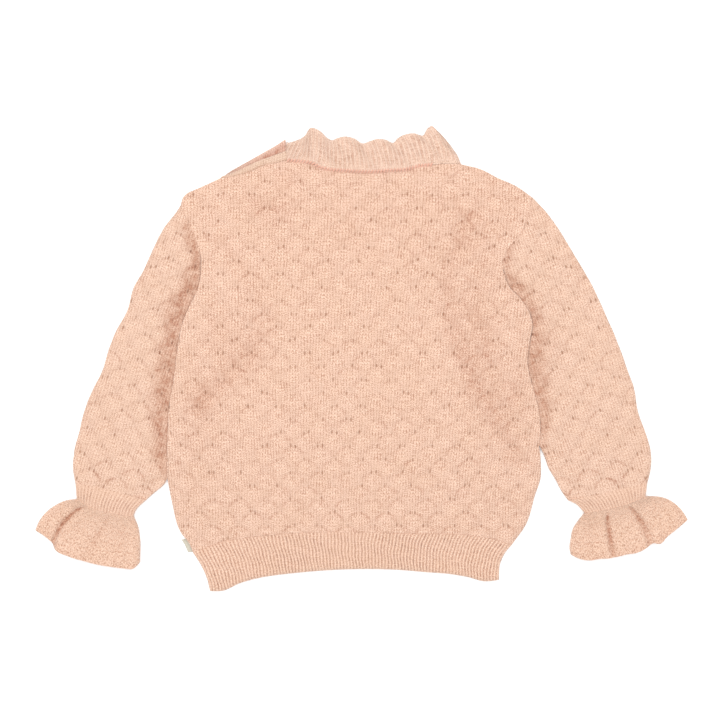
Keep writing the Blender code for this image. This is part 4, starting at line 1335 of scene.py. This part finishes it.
class PULLOVER_OT_sleeves(bpy.types.Operator):
    """Knits the two sleeves"""

    bl_idname = "pullover.sleeves"
    bl_label = "Sleeves"

    def execute(self, context):
        size = sizes()
        knit = yarn("sleeve_knit", "sleeve", knit_stitches, eyelets=True, crisp=0.78)
        left_inner, right_inner = Edge(LEFT_SLEEVE_FREE, LEFT_SIDE), Edge(RIGHT_SLEEVE_FREE, RIGHT_SIDE)
        left = (LEFT_CUFF_TOP, LEFT_ARMHOLE[::-1], LEFT_SLEEVE_OUTER, left_inner)
        right = (RIGHT_CUFF_TOP, RIGHT_ARMHOLE[::-1], RIGHT_SLEEVE_OUTER, right_inner)
        for side, word, edges in ((-1, "left", left), (1, "right", right)):
            patch = Patch(*edges, SIDE_LAP)
            tube = Tube(patch, SLEEVE_GIRTH, SLEEVE_FOLD_RADIUS)
            dress, name = sleeve_dress(patch, side, size), f"sleeve_{word}"
            tube.made(f"{name}_knit", SLEEVE_ROWS, dress, knit, "sleeve_knit", name)
        return {"FINISHED"}


def cuff_dress(patch, size):
    width, length = patch.middle_size()

    def dress(at):
        ribs = ((at.share - 0.5) * at.width + at.beyond) / at.width * width / size["rib"]
        crown = rib_crowns(ribs)
        from_ruffle, from_sleeve = at.along * length, (1 - at.along) * length
        fade = ease(from_sleeve, 0.0, 8.0) * ease(from_ruffle, 0.0, 3.0)
        # painted shade between the ribs, uneven, fading at both ends
        hollow = 0.12 * (1 - crown) ** 1.5 * fade * (1 + 0.7 * drift(5 * at.x, 4 * at.y))
        raised = size["rib_height"] * (0.6 + 0.7 * fade * (crown - 0.6))
        lift = -CUFF_SEAM_DEPTH * bell(from_ruffle, 2.5)
        stitches = (2 * ribs, from_ruffle / size["course"])
        return Look(lift, raised, 0.3 * crown, 0.5 * (1 - crown), stitches, None, hollow)

    return dress


class PULLOVER_OT_cuffs(bpy.types.Operator):
    """Knits the ribbed wrists"""

    bl_idname = "pullover.cuffs"
    bl_label = "Cuffs"

    def execute(self, context):
        size = sizes()
        knit = yarn("cuff_rib", "rib", rib_stitches, crisp=0.6)
        left = (LEFT_CUFF_BOTTOM, LEFT_CUFF_TOP, LEFT_CUFF_OUTER, LEFT_CUFF_INNER)
        right = (RIGHT_CUFF_BOTTOM, RIGHT_CUFF_TOP, RIGHT_CUFF_OUTER, RIGHT_CUFF_INNER)
        for word, tables in (("left", left), ("right", right)):
            patch = Patch(*tables)
            tube = Tube(patch, CUFF_GIRTH, CUFF_FOLD_RADIUS)
            dress, name = cuff_dress(patch, size), f"cuff_{word}"
            tube.made(f"{name}_rib", CUFF_ROWS, dress, knit, "rib", name)
        return {"FINISHED"}


def ruffle_dress(patch, creases, size):
    width, length = patch.middle_size()

    def dress(at):
        free = 1 - at.along
        shown = ease(free, 0.03, 0.2) * (1 - 0.7 * ease(free, 0.6, 1.0))
        rise, crease_dark = np.ones_like(free), np.zeros_like(free)
        for crease in creases:
            middle = crease.at_edge + (crease.at_seam - crease.at_edge) * at.along
            valley = crease.depth * bell(at.share - middle, crease.width)
            rise *= 1 - valley
            crease_dark = np.maximum(crease_dark, valley**2 * shown)
        sides = quarter_round(np.minimum(at.share, 1 - at.share), 0.12)
        lift = size["ruffle_rise"] * rise * sides * np.sqrt(np.maximum(free, 0))
        lift += RUFFLE_SEAM_RISE * bell(free * length, 8.0)

        way = ((at.share - 0.5) * at.width + at.beyond) / at.width * width
        u = way * RUFFLE_FULLNESS / PEBBLE
        v = at.along * length / PEBBLE + 0.35 * np.sin(u * 1.7) * np.sin(u * 0.61 + 1)
        row = np.floor(v)
        cell = u + 0.5 * row + 0.3 * chance(row, 7.0)
        pebble = np.abs(np.sin(np.pi * cell) * np.sin(np.pi * v)) ** 0.7
        pebble *= 0.4 + 0.6 * chance(np.floor(cell), row)
        # painted shade in the creases, and along the free edge
        hollow = crease_dark + 0.12 * ease(at.along * length, 5.0, 0.0)
        return Look(lift, 0.4 * pebble, 0.5 * pebble, 0.3 * (1 - pebble), (u, v), None, hollow)

    return dress


class PULLOVER_OT_ruffles(bpy.types.Operator):
    """Knits the flounces at the wrists"""

    bl_idname = "pullover.ruffles"
    bl_label = "Ruffles"

    def execute(self, context):
        size = sizes()
        knit = yarn("ruffle_knit", "ruffle", purl_stitches, crisp=0.85)
        left = (LEFT_RUFFLE_EDGE, LEFT_CUFF_BOTTOM, LEFT_RUFFLE_OUTER, LEFT_RUFFLE_INNER)
        right = (RIGHT_RUFFLE_EDGE, RIGHT_CUFF_BOTTOM, RIGHT_RUFFLE_OUTER, RIGHT_RUFFLE_INNER)
        for word, tables, creases in (("left", left, LEFT_CREASES), ("right", right, RIGHT_CREASES)):
            patch = Patch(*tables)
            tube = Tube(patch, RUFFLE_GIRTH, RUFFLE_FOLD_RADIUS)
            dress, name = ruffle_dress(patch, creases, size), f"ruffle_{word}"
            tube.made(f"{name}_knit", RUFFLE_ROWS, dress, knit, "ruffle_knit", name, "gathered")
        return {"FINISHED"}


# ---------------------------------------------------------------- small pieces
class PULLOVER_OT_label(bpy.types.Operator):
    """Adds the blank tape in the side seam"""

    bl_idname = "pullover.label"
    bl_label = "Side Label"

    def execute(self, context):
        seam = Edge(LEFT_SIDE_FREE)
        inner = tuple(tuple(seam.at(share)) for share in LABEL_SEAM_SHARES)
        outer = tuple((x - LABEL_WIDTH, y - LABEL_DROP) for x, y in inner)
        patch = Patch((outer[0], inner[0]), (outer[-1], inner[-1]), outer, inner)

        def place(across, along, is_outer):
            x, y = patch.cut(across, along)
            height = LABEL_HEIGHT + 0.3 * np.sin(np.pi * along)
            z = np.where(is_outer, height + LABEL_THICKNESS, height)
            return Cloth(x, y, z, (across * LABEL_THREADS[0], along * LABEL_THREADS[1]))

        mesh = shell_mesh("side_tape", unit_shell(*LABEL_GRID, coarse=1), place)
        piece(mesh, tape("label_tape", "label"), "label", "side_label")
        return {"FINISHED"}


class PULLOVER_OT_seam_stitches(bpy.types.Operator):
    """Sews the row of slanted stitches round the back of the neck"""

    bl_idname = "pullover.seam_stitches"
    bl_label = "Seam Stitches"

    def execute(self, context):
        finish = thread("seam_thread", "thread")
        bm = bmesh.new()
        line = Edge(BACK_NECK)
        count = round(line.length / THREAD_STITCH)
        scale = Matrix.Diagonal((*(half * MM for half in THREAD_HALF_SIZE), 1))
        for number in range(round(count * THREAD_SHOWN)):
            share = (number + 0.5) / count
            x, y = line.at(share)
            ahead = line.at(min(1.0, share + 0.01)) - line.at(max(0.0, share - 0.01))
            turn = Matrix.Rotation(math.atan2(ahead[1], ahead[0]) + THREAD_LEAN, 4, "Z")
            spot = ((x - PLAN_MIDDLE[0]) * MM, (y - PLAN_MIDDLE[1]) * MM, THREAD_HEIGHT * MM)
            matrix = Matrix.Translation(spot) @ turn @ scale
            bmesh.ops.create_uvsphere(bm, u_segments=8, v_segments=6, radius=1, matrix=matrix)
        mesh = bpy.data.meshes.new("seam_stitches")
        bm.to_mesh(mesh)
        bm.free()
        mesh.shade_smooth()
        piece(mesh, finish, "collar_rib")
        return {"FINISHED"}


# ---------------------------------------------------------------- stage
class PULLOVER_OT_stage(bpy.types.Operator):
    """Sets the white floor, the soft light and the camera above"""

    bl_idname = "pullover.stage"
    bl_label = "Stage"

    def execute(self, context):
        scene = context.scene
        bm = bmesh.new()
        bmesh.ops.create_grid(bm, x_segments=8, y_segments=8, size=FLOOR_REACH)
        mesh = bpy.data.meshes.new("floor")
        bm.to_mesh(mesh)
        bm.free()
        mesh.materials.append(floor_finish())
        link("floor", mesh)

        scene.world = bpy.data.worlds.new("studio")
        scene.world.use_nodes = True
        sky = scene.world.node_tree.nodes["Background"].inputs
        sky["Color"].default_value = (1, 1, 1, 1)
        sky["Strength"].default_value = WORLD_STRENGTH
        for box in SOFTBOXES:
            light = bpy.data.lights.new(box.name, "AREA")
            light.size, light.energy = box.width, box.watts
            made = link(box.name, light)
            made.location = box.spot
            aim = Vector() - Vector(box.spot)  # at the floor's middle
            made.rotation_euler = aim.to_track_quat("-Z", "Y").to_euler()

        lens = bpy.data.cameras.new("camera")
        lens.lens, lens.sensor_width = LENS, SENSOR
        camera = link("camera", lens)
        away = VIEW_WIDTH * LENS / SENSOR
        camera.location = (CAMERA_SPOT[0] * MM, CAMERA_SPOT[1] * MM, (away + VIEW_HEIGHT) * MM)
        scene.camera = camera
        scene.view_settings.view_transform = "Standard"
        return {"FINISHED"}


# In the order in which they are made.
OPERATORS = (
    PULLOVER_OT_plackets,
    PULLOVER_OT_label,
    PULLOVER_OT_body,
    PULLOVER_OT_hem,
    PULLOVER_OT_collar,
    PULLOVER_OT_sleeves,
    PULLOVER_OT_cuffs,
    PULLOVER_OT_ruffles,
    PULLOVER_OT_seam_stitches,
    PULLOVER_OT_stage,
)


class PULLOVER_PT_sidebar(bpy.types.Panel):
    """Lists the pieces that can be made, and their sizes and colours"""

    bl_idname = "PULLOVER_PT_sidebar"
    bl_label = "Pullover"
    bl_space_type = "VIEW_3D"
    bl_region_type = "UI"
    bl_category = "Pullover"

    def draw(self, context):
        for operator in OPERATORS:
            self.layout.operator(operator.bl_idname)
        for held in (context.scene.pullover_sizes, context.scene.pullover_colours):
            for name in type(held).__annotations__:
                self.layout.prop(held, name)


CLASSES = (PulloverSizes, PulloverColours, *OPERATORS, PULLOVER_PT_sidebar)


def register():
    for made in CLASSES:
        bpy.utils.register_class(made)
    bpy.types.Scene.pullover_sizes = PointerProperty(type=PulloverSizes)
    bpy.types.Scene.pullover_colours = PointerProperty(type=PulloverColours)


def unregister():
    del bpy.types.Scene.pullover_colours
    del bpy.types.Scene.pullover_sizes
    for made in reversed(CLASSES):
        bpy.utils.unregister_class(made)


def main():
    register()
    bpy.ops.pullover.plackets()
    bpy.ops.pullover.label()
    bpy.ops.pullover.body()
    bpy.ops.pullover.hem()
    bpy.ops.pullover.collar()
    bpy.ops.pullover.sleeves()
    bpy.ops.pullover.cuffs()
    bpy.ops.pullover.ruffles()
    bpy.ops.pullover.seam_stitches()
    bpy.ops.pullover.stage()


if __name__ == "__main__":
    main()
